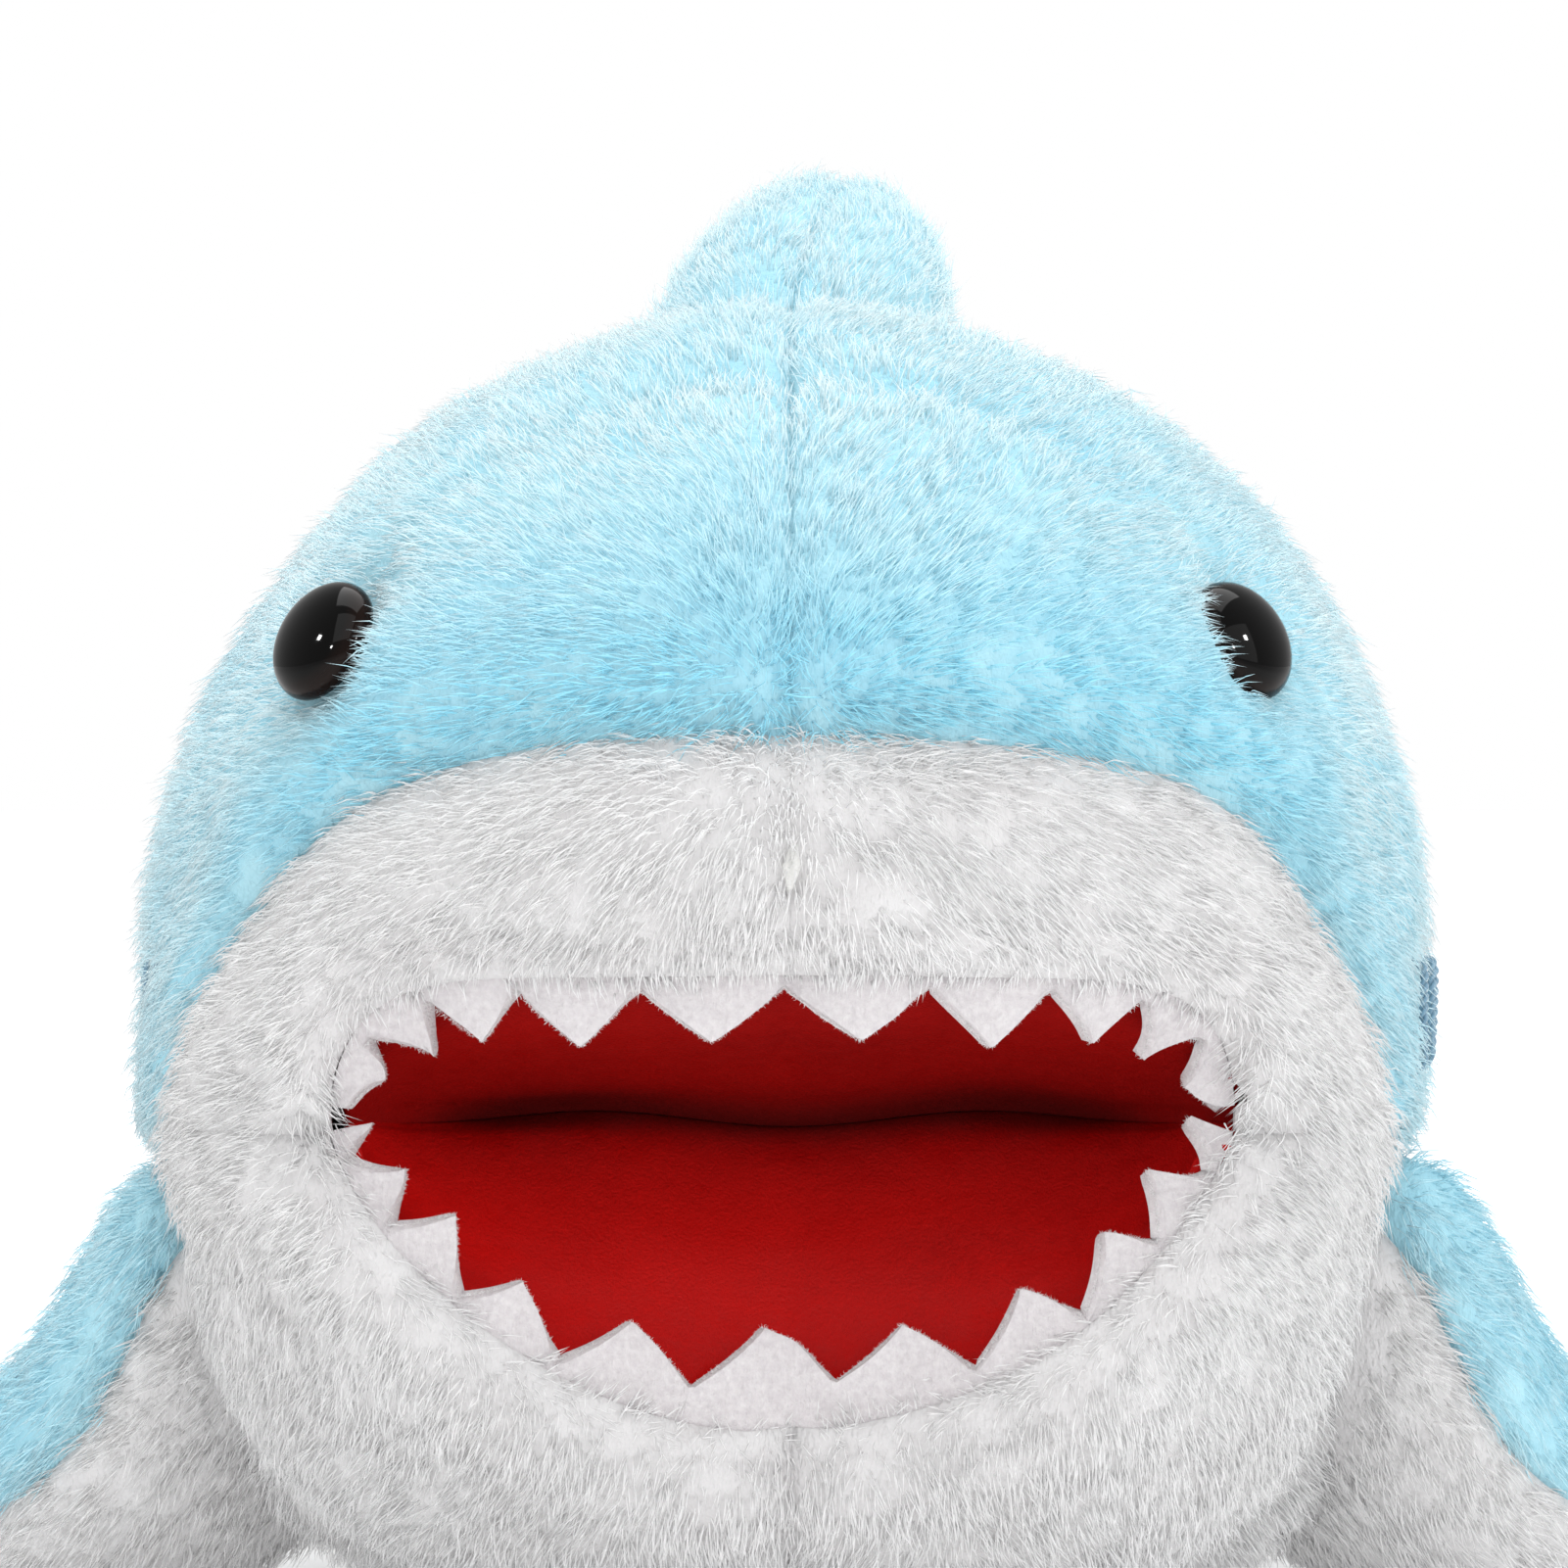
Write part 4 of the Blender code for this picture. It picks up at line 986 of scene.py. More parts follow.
def drawn_in(surface):
    """The fabric's own relief on the trunk: seams pull it in, and it puffs between them."""
    p = surface.rest
    y = behind(p)
    seam = np.abs(above_seam(p)) / 1.25
    mouth = np.maximum(mouth_level(p), 0.0)
    near_lip = np.where(y < CREASE_Y + 0.01, 1.0, 0.0)
    below = smooth((CREASE_Z - p[:, 2]) / 0.02)
    middle_pull = np.where(p[:, 2] < seam_z(y), WHITE_MIDDLE_PULL, BLUE_MIDDLE_PULL)
    relief = 0.0012 * lumps(p, 0.045, 5) + 0.0016 * lumps(p, 0.11, 9)
    relief = relief - SEAM_PULL * bell(seam, 0.0055) + 0.0012 * bell(seam - 0.018, 0.012)
    relief = relief - near_lip * LIP_PULL * bell(mouth, 0.0070)
    relief = relief + near_lip * LIP_PUFF * bell(mouth - 0.020, 0.012)
    relief = relief - CREASE_PULL * below * bell(y - CREASE_Y, 0.0120)
    relief = relief - middle_pull * bell(p[:, 0], 0.0035)
    forehead = smooth((p[:, 2] - 0.205) / 0.01) * (np.abs(p[:, 0]) < EYE_X)
    relief = relief - FOREHEAD_PULL * forehead * bell(y + 0.0885, 0.0040)
    for place in EYE_PLACES.values():
        away = distance(p, place)
        relief = relief - EYE_PULL * bell(away, 0.0150) + 0.0012 * bell(away - 0.030, 0.010)
        brow = place + (NOSE - place) / np.linalg.norm(NOSE - place) * 0.018
        relief = relief + BROW_PUFF * bell(distance(p, brow), 0.0090)
    ring = np.linalg.norm((on_the_left(p) - SHOULDER) * (0.6, 0.5, 1.0), axis=1)
    relief = relief - SHOULDER_PULL * bell(ring - 0.021, 0.0080)
    base = np.linalg.norm((p - FIN_PLACE) * (1.0, 0.62, 0.5), axis=1)
    return relief - FIN_BASE_PULL * bell(base - 0.032, 0.0070)


def trunk_surface():
    around, along = ((288, 180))
    made = sphere_surface(around, along, trunk_law(BACKING_INSET), pole="Y")
    middle = np.abs(made.points[:, 0]) < 1e-7
    snap(made, above_seam)
    snap(made, lambda p: behind(p) - CREASE_Y, lambda p: p[:, 2] < seam_z(behind(p)) + 1e-4)
    snap(made, lambda p: p[:, 2] - CREASE_Z, lambda p: behind(p) < CREASE_Y + 1e-4)
    snap(made, mouth_level, lambda p: behind(p) < CREASE_Y)
    made.points[middle, 0] = 0.0
    made.rest = made.points.copy()
    made.points = made.points + made.normals() * drawn_in(made)[:, None]
    made.points[:, 2] = np.maximum(made.points[:, 2], FLOOR + CLOTH)
    centre = made.centres()
    open_mouth = mouth_level(centre) < 0.0
    open_tail = centre[:, 1] > FULL_Y + TRUNK_END_Y - 0.0022
    return made.part(~open_mouth & ~open_tail)


def region_of(rest):
    """back, belly, muzzle or chin, for each point."""
    y = behind(rest)
    white = np.where(y > CREASE_Y, "belly", np.where(rest[:, 2] > CREASE_Z, "muzzle", "chin"))
    return np.where(rest[:, 2] > seam_z(y), "back", white)


def trunk_flow(points):
    """Pile fans out from the nose over the head, then lies towards the tail."""
    away = rows(points - NOSE)
    share = smooth((points[:, 1:2] - FULL_Y + 0.09) / 0.13)
    tailwards = np.array([0.0, 1.0, -0.25])
    lying = mix(away, tailwards, share) - np.array([0.0, 0.0, 0.12])
    inward = rows(np.array([0.0, 0.0, CORNER_Z]) - points * (1.0, 0.0, 1.0))
    return lying + 1.9 * bell(mouth_level(points), 0.0045)[:, None] * inward


def trunk_density(points):
    face = mix(TRUNK_TUFTS, REAR_TUFTS, smooth((behind(points) + 0.01) / 0.05))
    under = smooth((points[:, 2] - 0.004) / 0.012)
    return 1.0 * face * mix(0.25, 1.0, under)


def trunk_length(rest):
    y = behind(rest)
    seam = np.abs(above_seam(rest))
    shorter = 1.0 - 0.25 * bell(rest[:, 0], 0.003) - 0.22 * bell(seam, 0.004)
    corner = np.hypot(np.abs(rest[:, 0]) - MOUTH_HALF_WIDTH, rest[:, 2] - CORNER_Z)
    shorter = shorter - (0.42 - 0.60 * bell(corner, 0.007)) * bell(mouth_level(rest), 0.005)
    for place in EYE_PLACES.values():
        shorter = shorter - 0.22 * bell(distance(rest, place) - 0.014, 0.006)
    gill = smooth((0.020 - np.abs(rest[:, 2] - GILL_Z)) / 0.006) * (np.abs(rest[:, 0]) > 0.1)
    stitched = sum(bell(y - place, 0.0025) for place in GILL_YS)
    return shorter - 0.45 * gill * np.clip(stitched, 0.0, 1.0)


def trunk_dye_and_shade(rest):
    """Darker colour just above the seam, strongest on the front of the head: partly the darker-dyed pile
    showing where it lies flat, partly painted shade where the cloth is drawn in at the seam, which leaves
    the top of the head paler.
    """
    above = above_seam(rest)
    ahead = smooth((-behind(rest) - 0.075) / 0.04)
    pressed_and_shaded = 0.75 * bell(above - 0.006, 0.020) + 0.30 * bell(above - 0.034, 0.030)
    return np.where(above > 0.0, np.clip(ahead * pressed_and_shaded + 0.12 * bell(above, 0.03), 0.0, 1.0), 0.0)


def clear_of_neighbours(rest):
    """Where pile can grow on the trunk: not under an eye, a flipper's root or the fin."""
    clear = np.ones(len(rest), bool)
    for place in EYE_PLACES.values():
        clear &= distance(rest, place) > EYE_RADIUS + 0.0008
    under = SHOULDER - (0.0, FLIPPER_AHEAD + 0.004, 0.008)
    clear &= np.linalg.norm((on_the_left(rest) - under) / (0.028, 0.024, 0.014), axis=1) > 1.0
    inward = np.array(fin_frame().inverted())
    local = rest @ inward[:3, :3].T + inward[:3, 3]
    radii = (FIN_ROOT_RADIUS - 0.003, FIN_HALF_CHORD - 0.003, FIN_ROOT_RADIUS)
    return clear & (np.linalg.norm(local / radii, axis=1) > 1.0)


def add_trunk():
    surface = trunk_surface()
    regions = region_of(surface.centres())
    left = surface.centres()[:, 0] > 0.0
    tufts = Tufts(surface, trunk_density, 11, trunk_flow, TRUNK_LIFT, trunk_length, trunk_dye_and_shade)
    tufts = tufts.take(clear_of_neighbours(tufts.rest))
    rear = tufts.rest[:, 1] > FULL_Y
    tuft_regions = region_of(tufts.rest)
    colours = {"back": "blue", "belly": "white", "muzzle": "white", "chin": "white"}
    for word, side in SIDES:
        for region, colour in colours.items():
            chosen = (regions == region) & (left == (side > 0))
            backing = cloth_piece(f"{word}_{region}_cloth", surface.part(chosen), CLOTH, BACKINGS[colour])
            mine = (tuft_regions == region) & ((tufts.rest[:, 0] > 0.0) == (side > 0))
            piles = []
            if (mine & ~rear).any():
                piles += tufts.take(mine & ~rear).grow(f"{word}_{region}_pile", colour)
            if (mine & rear).any():
                piles += tufts.take(mine & rear).grow(f"{word}_{region}_rear_pile", colour, COARSE)
            dress(backing, PILES[colour][1], nodes=(f"{word}_{region}_panel",))
            for one in (backing, *piles):
                if region == "chin":
                    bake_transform(one)
                else:
                    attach(one, "root")


# --- Mouth ---


def lip_points(x, upper):
    """The lip line at these places across, on the cloth as it lies after its seams are drawn in."""
    y = np.interp(x, LIP_XS, LIP_YS[0 if upper else 1])
    path = np.stack([x, y, lip_heights(x)[0 if upper else 1]], axis=1)
    outward = trunk_outward(path)
    return path, outward, path + outward * drawn_in(Surface(path, None))[:, None]


def lining_sheet(name, upper):
    """The palate or the tongue: a sheet from the crease to the lip, a little puffed."""
    across, deep = ((150, 64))
    swing, t = np.meshgrid(np.linspace(-1.0, 1.0, across), np.linspace(0.0, 1.0, deep) ** 1.3, indexing="ij")
    share, t = np.sin(swing.reshape(-1) * math.pi / 2) * LINING_SHARE, t.reshape(-1)
    x = MOUTH_HALF_WIDTH * share
    lip, outward, sewn = lip_points(x, upper)
    y = mix(crease_line(np.abs(share), lip[:, 1]), lip[:, 1], t)
    palate, tongue = mouth_sheets(x, y)
    points = np.stack([x, y, palate if upper else tongue], axis=1)
    points += (sewn - lip - outward * 0.0052) * smooth((t - 0.45) / 0.55)[:, None]
    points -= outward * (0.0075 * smooth((np.abs(share) - 0.80) / 0.20) * (1.0 - t**3))[:, None]
    puff = 0.0018 * smooth(t / 0.2) * (1.0 - t) + 0.0007 * lumps(points, 0.035, 31)
    puff = puff - 0.0016 * bell(x, 0.0045) * smooth((t - 0.1) / 0.3)
    puff = puff * smooth(t / 0.12) * smooth((1.0 - t) / 0.10) * smooth((1.0 - np.abs(share)) / 0.08)
    points[:, 2] += -puff if upper else puff
    a, b, c, d = sheet_cells(across - 1, deep - 1)
    sheet = Surface(points, np.vstack([faces_from(a, b, c), faces_from(a, c, d)]))
    if sheet.normals()[:, 2].mean() * (-1.0 if upper else 1.0) < 0.0:
        sheet.tris = sheet.tris[:, ::-1]
    made = cloth_piece(name, sheet, LINING, PALATE_LINING if upper else TONGUE_LINING)
    place = np.array([vertex.co for vertex in made.data.vertices])
    # painted shade, strongest at the crease and fading towards the lip
    from_fold = HINGE_Y - place[:, 1] - 0.012 * np.abs(place[:, 0] / MOUTH_HALF_WIDTH) ** 2
    paint(made, "fold", bell(np.maximum(from_fold, 0.0), 0.007 if upper else 0.004))
    dress(made, "red_lining", "root" if upper else "jaw", (name.replace("_cloth", ""),))


def lip_path(upper, count):
    """Points along the lip at equal steps, from the right corner to the left."""
    x = MOUTH_HALF_WIDTH * np.sin(np.linspace(-math.pi / 2, math.pi / 2, 600)) * 0.998
    path = lip_points(x, upper)[2]
    run = np.concatenate([[0.0], np.cumsum(np.linalg.norm(np.diff(path, axis=0), axis=1))])
    at = np.linspace(0.0, run[-1], count)
    even = np.interp(at, run, x)
    _, outward, sewn = lip_points(even, upper)
    return sewn, outward


def add_tooth_strip(name, upper, phase, band, body):
    """A felt strip sewn inside the lip, whose free edge is cut in a zigzag."""
    columns, levels = TEETH * 24, 9
    path, outward = lip_path(upper, columns + 1)
    along = rows(np.gradient(path, axis=0))
    share = np.abs(path[:, 0]) / MOUTH_HALF_WIDTH
    upright = np.where(share < 1.0, 0.05 * (1.0 - share**8), 0.0) * (-1.0 if upper else 1.0)
    rise = rows(np.stack([-path[:, 0] * share**5, 0.0 * share, upright], axis=1))
    rise = rows(rise - 0.4 * dots(rise, along) * along - 0.30 * outward)
    run = np.linspace(-1.0, 1.0, columns + 1)
    place = TEETH / 2.0 * (1.0 + mix(run, run**3, CORNER_CROWDING)) + phase
    zigzag = 1.0 - np.abs(2.0 * (place - np.floor(place)) - 1.0)
    ends = smooth((1.0 - np.abs(run)) / 0.22)
    uneven = 1.0 + 0.07 * np.sin(np.floor(place) * 2.4)
    band_ends = 1.0 - smooth((1.0 - np.abs(run)) / 0.07)
    band = band[0] + band[1] * bell(path[:, 0], 0.032) + BAND_END * band_ends
    height = (band + TOOTH * zigzag**0.92 * uneven) * mix(0.62, 1.0, ends)
    share = np.linspace(0.0, 1.0, levels)[None, :, None]
    start = path[:, None] - outward[:, None] * 0.0030 - rise[:, None] * 0.0020
    grid = start + rise[:, None] * height[:, None, None] * share
    curl = 0.0012 * np.sin(place * 2.0 * math.pi)[:, None, None] * share**2
    grid = grid + outward[:, None] * (curl + 0.0014 * share**2)
    made = new_mesh(name, grid.reshape(-1, 3), [faces_from(*sheet_cells(columns, levels - 1))], [FELT])
    thicken(made, FELT_THICKNESS, 0.0)
    rounded = made.modifiers.new("cut_edge", "BEVEL")
    rounded.width = 0.00055
    rounded.segments = 2
    rounded.limit_method = "ANGLE"
    rounded.angle_limit = math.radians(50.0)
    settle(made)
    dress(made, "white_felt", body, (name.replace("_felt", ""),))
    add_fuzz(name + "_fuzz", grid, rise, body)


def add_fuzz(name, grid, rise, body):
    """Short loose hairs along the felt's cut edge."""
    rng = np.random.default_rng(71)
    count = 5200
    at = rng.uniform(0, len(grid) - 1.001, count)
    low = at.astype(int)
    part = (at - low)[:, None]
    edge = mix(grid[low, -1], grid[low + 1, -1], part)
    cut_way = rows(grid[low + 1, -1] - grid[low, -1])
    out = np.cross(cut_way, np.cross(rise[low], cut_way))
    side = np.cross(cut_way, out)
    roots = edge + side * rng.uniform(-0.0013, 0.0013, (count, 1)) - out * 0.0002
    way = rows(out + 0.8 * rng.normal(size=(count, 3)))
    long = rng.uniform(0.0004, 0.0012, (count, 1))
    middles = roots + way * long * 0.5
    tips = middles + rows(way + 0.5 * rng.normal(size=(count, 3))) * long * 0.5
    radii, tint, depth = np.full(count, 0.00006), rng.random(count), np.zeros(count)
    dress(fibre_object(name, roots, middles, tips, radii, tint, depth, WHITE_PILE), "white_felt", body)


# --- Eyes and gill stitches ---


def ring_points(radius, height, around):
    """Rings of points round Z. Radius has one column, or one for each point of a ring."""
    turn = turns(around)
    rings = [radius * np.cos(turn), radius * np.sin(turn), np.outer(height, np.ones(around))]
    return np.stack(rings, axis=2).reshape(-1, 3)


def add_eye(word):
    """A turned dome on a shank, smooth enough for clean highlights."""
    dome, around = 26, 72
    arc = np.linspace(0.0, math.pi / 2, dome)
    edge = 0.0012
    radius = [*(EYE_RADIUS * np.sin(arc)), EYE_RADIUS * 0.985, EYE_RADIUS * 0.90, 0.0025, 0.0025, 0.0015]
    height = [*(edge + (EYE_HEIGHT - edge) * np.cos(arc)), 0.0003, -0.0002, -0.0002, -0.0160, -0.0170]
    rings = ring_points(np.array(radius[1:])[:, None], height[1:], around)
    points = np.vstack([rings, [[0.0, 0.0, height[0]], [0.0, 0.0, height[-1]]]])
    last = len(radius) - 2
    a, b, c, d = ring_cells(last, around)
    top = np.full(around, len(rings))
    first, after = a[:around], b[:around]
    ends = [faces_from(top, first, after), faces_from(top + 1, last * around + after, last * around + first)]
    quads = faces_from(b, a, d, c)
    made = new_mesh(f"{word}_eye_dome", placed(EYES[word], points), [quads, np.vstack(ends)], [EYE_PLASTIC])
    paint(made, "edge", np.hypot(points[:, 0], points[:, 1]) / EYE_RADIUS)
    dress(made, "black_plastic", "root", (f"{word}_eye",))
    add_washer(word)


def add_washer(word):
    """The locking washer on the shank behind the cloth, with its six gripping slits."""
    around = 72
    radius = np.array([0.0026, 0.0026, 0.0100, 0.0105, 0.0105, 0.0100])
    height = np.array([-0.0135, -0.0122, -0.0108, -0.0112, -0.0122, -0.0126])
    slit = 1.0 + 0.35 * (np.cos(6.0 * turns(around)) > 0.86)
    spread = np.outer(radius, np.ones(around))
    spread[:2] *= slit
    a, b, c, d = (corner % spread.size for corner in ring_cells(len(radius), around))
    quads = faces_from(a, d, c, b)
    points = placed(EYES[word], ring_points(spread, height, around))
    made = new_mesh(f"{word}_eye_lock_washer", points, [quads], [WASHER_PLASTIC])
    if surface_volume(Surface(points, np.vstack([quads[:, :3], quads[:, (0, 2, 3)]]))) < 0.0:
        made.data.flip_normals()
    dress(made, "washer_plastic", "root", (f"{word}_eye_washer",))


def face_x(y, z):
    """Half width of the trunk's face at these distances behind the fullest section and heights."""

    def inside(x):
        return ~(trunk_level(np.stack([x, FULL_Y + y, z], axis=1)) > 0.0)

    return narrowed(np.zeros(len(y)), np.full(len(y), HALF_WIDTH + 0.01), inside)[0]


def add_gill_stitch(word, side, number, y):
    """Two plies twisted round each other, sewn over the pile."""
    steps, sides, ply, lay = 64, 7, 0.00052, 0.0042
    along = np.linspace(-1.0, 1.0, steps)
    here = y - 0.004 * (1.0 - along**2)
    z = GILL_Z + GILL_HALF_HEIGHT * along
    sunk = 0.0040 * smooth((np.abs(along) - 0.72) / 0.28)
    path = np.stack([side * (face_x(here, z) - 0.0020 - sunk), FULL_Y + here, z], axis=1)
    way = rows(np.gradient(path, axis=0))
    out = np.tile([side, 0.0, 0.0], (steps, 1))
    out = rows(out - dots(out, way) * way)
    across = np.cross(way, out)
    points, faces = [], []
    for start in (0.0, math.pi):
        twist = start + along * GILL_HALF_HEIGHT / lay * 2.0 * math.pi
        centre = path + (out * np.cos(twist)[:, None] + across * np.sin(twist)[:, None]) * ply * 0.9
        faces.append(faces_from(*ring_cells(steps - 1, sides)) + len(points) * steps * sides)
        ring = [centre + (out * math.cos(turn) + across * math.sin(turn)) * ply for turn in turns(sides)]
        points.append(np.stack(ring, axis=1).reshape(-1, 3))
    made = new_mesh(f"{word}_gill_thread_{number}", np.vstack(points), [np.vstack(faces)], [THREAD])
    if side < 0:
        made.data.flip_normals()
    dress(made, "gill_thread", "root", (f"{word}_gill_stitch_{number}",))


# --- Flippers, fin and tail ---


def add_cover(name, colour, part, body, node, fill, density, flow, seed, keep, lift, thick=1.0, depth=None):
    """One panel of a bag: its cloth, and its pile where keep allows it."""
    backing = cloth_piece(f"{name}_cloth", part, CLOTH, BACKINGS[colour])
    dress(backing, PILES[colour][1], body, (node,))
    scaled = density * 1.0

    def everywhere(points):
        return np.full(len(points), scaled)

    def lying(points):
        return np.tile(flow, (len(points), 1))

    tufts = Tufts(part, everywhere, seed, lying, lift, depth=depth)
    tufts = tufts.take(keep(tufts.points))
    for one in tufts.grow(f"{name}_pile", colour, thick):
        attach(one, body)


def out_of_trunk(points):
    return trunk_level(points, BACKING_INSET) > -0.05


def first_half(surface):
    """Which triangles lie on the side of the seam where X of the bag's sphere is above 0."""
    return surface.unit[surface.tris].mean(axis=1)[:, 0] > 0.0


def seam_relief(surface, depth, width):
    """Draws a bag's surface in along the seam where X of its sphere is 0."""
    pull = depth * bell(surface.unit[:, 0] / 0.35 * 0.012, width)
    soft = 0.0010 * lumps(surface.rest, 0.035, 3)
    surface.points = surface.points + surface.normals() * (soft - pull)[:, None]
    surface.points[:, 2] = np.maximum(surface.points[:, 2], FLOOR + CLOTH)


def add_flipper(word, side):
    body = f"{word}_flipper"
    surface = sphere_surface(72, 96, flipper_law(side, BACKING_INSET))
    seam_relief(surface, 0.0032, 0.0050)
    top = first_half(surface)
    outwards = (side * 0.72, 0.30, -0.62)
    seed = 41 if side > 0 else 43

    def flipper_deep_share(points):
        return np.full(len(points), FLIPPER_DEEP_SHARE)

    for label, colour, chosen in (("top", "blue", top), ("underside", "white", ~top)):
        name, part = f"{body}_{label}", surface.part(chosen)
        pile = (FLIPPER_TUFTS, outwards, seed, out_of_trunk, BAG_LIFT, 1.0, flipper_deep_share)
        add_cover(name, colour, part, body, name, 0.8, *pile)
    inner = sphere_surface(40, 48, flipper_law(side, FILL_INSET))
    fill_from_law(f"{body}_fill", inner, body, f"{body}_stuffing")


def fill_from_law(name, surface, body, node):
    """Stuffing: the bag's form, smaller and lumpy."""
    surface.points = surface.points + surface.normals() * (0.0009 * lumps(surface.points, 0.02, 17))[:, None]
    made = new_mesh(name, surface.points, [surface.tris], [FIBRE_FILL])
    dress(made, "fibre_fill", body, (node,))


def add_dorsal_fin():
    body = "dorsal_fin"
    surface = sphere_surface(80, 84, fin_law(BACKING_INSET))
    seam_relief(surface, 0.0016, 0.0040)
    left = first_half(surface)
    upwards = np.array(fin_frame())[:3, :3] @ np.array([0.0, 0.55, 0.85])
    for word, chosen, seed in (("left", left, 51), ("right", ~left, 53)):
        name = f"{body}_{word}"
        pile = (FIN_TUFTS, upwards, seed, out_of_trunk, BAG_LIFT)
        add_cover(name, "blue", surface.part(chosen), body, name, 0.9, *pile)
    fill_from_law(f"{body}_fill", sphere_surface(36, 36, fin_law(FILL_INSET)), body, f"{body}_stuffing")


def add_tail():
    stem = sphere_surface(96, 80, stem_law(BACKING_INSET), pole="Y")
    snap(stem, lambda p: p[:, 2] - SEAM_REAR_Z)
    seam = np.abs(stem.rest[:, 2] - SEAM_REAR_Z)
    relief = 0.0009 * lumps(stem.rest, 0.03, 23) - 0.0025 * bell(seam, 0.004)
    stem.points = stem.points + stem.normals() * relief[:, None]
    centres = stem.centres()
    blue = centres[:, 2] > SEAM_REAR_Z
    parts = (
        ("left_tail", "blue", blue & (centres[:, 0] > 0.0), "left_tail_panel"),
        ("right_tail", "blue", blue & (centres[:, 0] <= 0.0), "right_tail_panel"),
        ("tail_underside", "white", ~blue, "tail_underside_panel"),
    )
    for seed, (name, colour, chosen, node) in enumerate(parts, 61):
        add_tail_part(name, colour, stem.part(chosen), node, seed)
    fill_from_law("tail_fill", sphere_surface(40, 40, stem_law(FILL_INSET), "Y"), "tail", "tail_stuffing")

    fin = sphere_surface(72, 96, tail_fin_law(BACKING_INSET))
    seam_relief(fin, 0.0025, 0.0040)
    left = first_half(fin)
    for word, chosen, seed in (("left", left, 67), ("right", ~left, 68)):
        add_tail_part(f"tail_fin_{word}", "blue", fin.part(chosen), f"tail_fin_{word}", seed)
    inner = sphere_surface(32, 40, tail_fin_law(FILL_INSET))
    fill_from_law("tail_fin_fill", inner, "tail", "tail_fin_stuffing")


def add_tail_part(name, colour, part, node, seed):
    def behind_trunk(points):
        return points[:, 1] > FULL_Y + TRUNK_END_Y - 0.006

    pile = (REAR_TUFTS, (0.0, 1.0, 0.0), seed, behind_trunk, TAIL_LIFT, COARSE)
    add_cover(name, colour, part, "tail", node, 0.85, *pile)


# --- Stuffing of the trunk and jaw ---


def star_fill(name, centre, inside, body, node, reach=0.40):
    """The space round a centre point that inside allows, found by halving along each ray."""

    def law(unit):
        def fits(far):
            return inside(centre + unit * far[:, None])

        low = narrowed(np.zeros(len(unit)), np.full(len(unit), reach), fits, 30)[0]
        return centre + unit * low[:, None]

    surface = sphere_surface(96, 72, law, "Y")
    made = new_mesh(name, surface.points, [surface.tris], [FIBRE_FILL])
    calm = made.modifiers.new("settled", "SMOOTH")
    calm.factor = 0.5
    calm.iterations = 3
    settle(made)
    dress(made, "fibre_fill", body, (node,))


def add_trunk_fill():
    jaw_slope = math.tan(math.radians(15.5))

    def roomy(p):
        within = (trunk_level(p, FILL_INSET) < 0.0) & (p[:, 2] > FILL_INSET)
        return within & (mouth_level(p) > 0.004)

    def in_body(p):
        jaw_side = (p[:, 1] < HINGE_Y + 0.008) & (p[:, 2] < CREASE_Z + 0.004)
        ball = distance(p, joint_at["tail_swing"]) < TAIL_BALL + 0.002
        return roomy(p) & ~jaw_side & ~ball

    def in_jaw(p):
        slot_z = CREASE_Z - (HINGE_Y - p[:, 1]) * jaw_slope
        return roomy(p) & (p[:, 1] < HINGE_Y - 0.002) & (p[:, 2] < slot_z - 0.002)

    star_fill("body_fill", np.array([0.0, FULL_Y + 0.05, 0.13]), in_body, "root", "body_stuffing")
    star_fill("jaw_fill", np.array([0.0, HINGE_Y - 0.030, 0.035]), in_jaw, "jaw", "jaw_stuffing")


# --- Studio ---


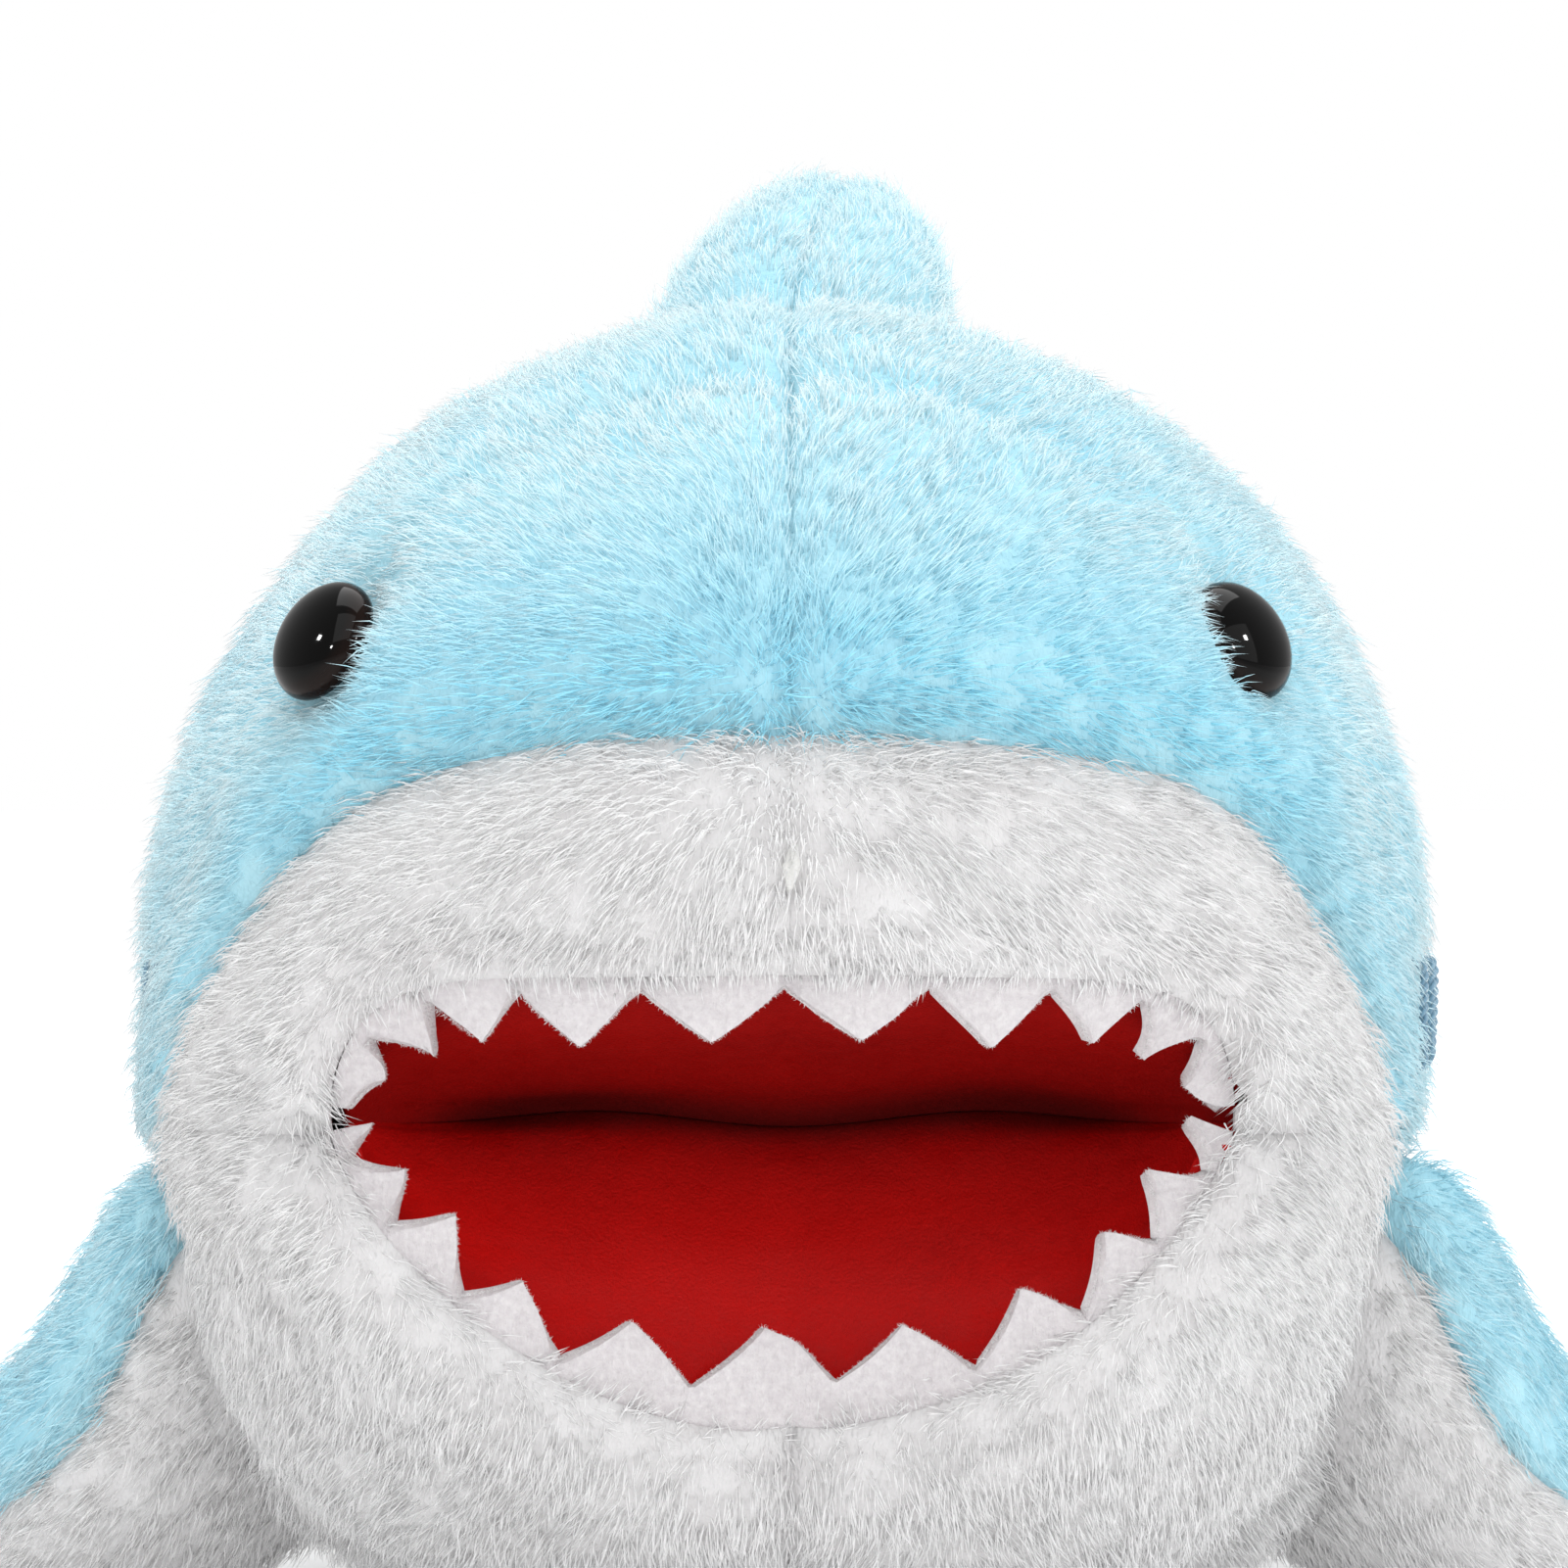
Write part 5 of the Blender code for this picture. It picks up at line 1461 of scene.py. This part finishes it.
def add_studio():
    bpy.ops.mesh.primitive_plane_add(size=60.0, location=(0.0, 0.0, 0.0))
    floor = bpy.context.object
    floor.name = "studio_floor"
    m = Nodes("studio_floor_white", (0.90, 0.90, 0.90), 0.9)
    m.shader.inputs["Emission Color"].default_value = (1.0, 1.0, 1.0, 1.0)
    m.shader.inputs["Emission Strength"].default_value = FLOOR_GLOW
    floor.data.materials.append(m.material)

    # The camera sees plain white, and the toy is lit by a weaker sky
    world = bpy.data.worlds.new("studio")
    bpy.context.scene.world = world
    world.use_nodes = True
    nodes, links = world.node_tree.nodes, world.node_tree.links
    sky = nodes["Background"]
    sky.inputs["Color"].default_value = (1.0, 1.0, 1.0, 1.0)
    sky.inputs["Strength"].default_value = SKY_STRENGTH
    shown = nodes.new("ShaderNodeBackground")
    shown.inputs["Color"].default_value = (1.0, 1.0, 1.0, 1.0)
    seen = nodes.new("ShaderNodeLightPath")
    either = nodes.new("ShaderNodeMixShader")
    links.new(seen.outputs["Is Camera Ray"], either.inputs[0])
    links.new(sky.outputs[0], either.inputs[1])
    links.new(shown.outputs[0], either.inputs[2])
    links.new(either.outputs[0], nodes["World Output"].inputs["Surface"])

    lights = (
        ("key", (-0.3, -1.6, 1.6), 1.5, 12.0),
        ("fill", (1.3, -1.3, 0.9), 1.4, 7.0),
        ("top", (0.1, 0.1, 2.0), 1.6, 25.0),
        ("glint_left", (-1.25, -0.85, 0.95), 0.13, 11.0),
        ("glint_left_low", (-0.75, -1.35, 0.60), 0.08, 4.0),
        ("glint_right", (1.25, -0.85, 0.95), 0.13, 11.0),
        ("glint_right_low", (0.75, -1.35, 0.60), 0.08, 4.0),
    )
    middle = Vector((0.0, FULL_Y, 0.12))
    for name, place, size, power in lights:
        data = bpy.data.lights.new(name, "AREA")
        data.size = size
        data.energy = power
        lamp = bpy.data.objects.new(name, data)
        lamp.location = place
        lamp.visible_diffuse = not name.startswith("glint")  # a glint lamp only shows as a reflection
        lamp.rotation_euler = (middle - Vector(place)).to_track_quat("-Z", "Y").to_euler()
        bpy.context.scene.collection.objects.link(lamp)
    bpy.context.scene.view_settings.view_transform = "Standard"


def add_camera():
    data = bpy.data.cameras.new("camera")
    data.sensor_width = SENSOR_MM
    data.lens = LENS_MM
    camera = bpy.data.objects.new("camera", data)
    camera.location = CAMERA_PLACE
    camera.rotation_euler = (math.pi / 2, 0.0, 0.0)
    bpy.context.scene.collection.objects.link(camera)
    bpy.context.scene.camera = camera


add_camera()
add_studio()
add_trunk()
add_trunk_fill()
lining_sheet("palate_lining_cloth", True)
lining_sheet("tongue_lining_cloth", False)
add_tooth_strip("upper_tooth_strip_felt", True, 0.0, UPPER_BAND, "root")
add_tooth_strip("lower_tooth_strip_felt", False, LOWER_PHASE, LOWER_BAND, "jaw")
for word, side in SIDES:
    add_eye(word)
    for number, gill_y in enumerate(GILL_YS, 1):
        add_gill_stitch(word, side, number, gill_y)
    add_flipper(word, side)
add_dorsal_fin()
add_tail()
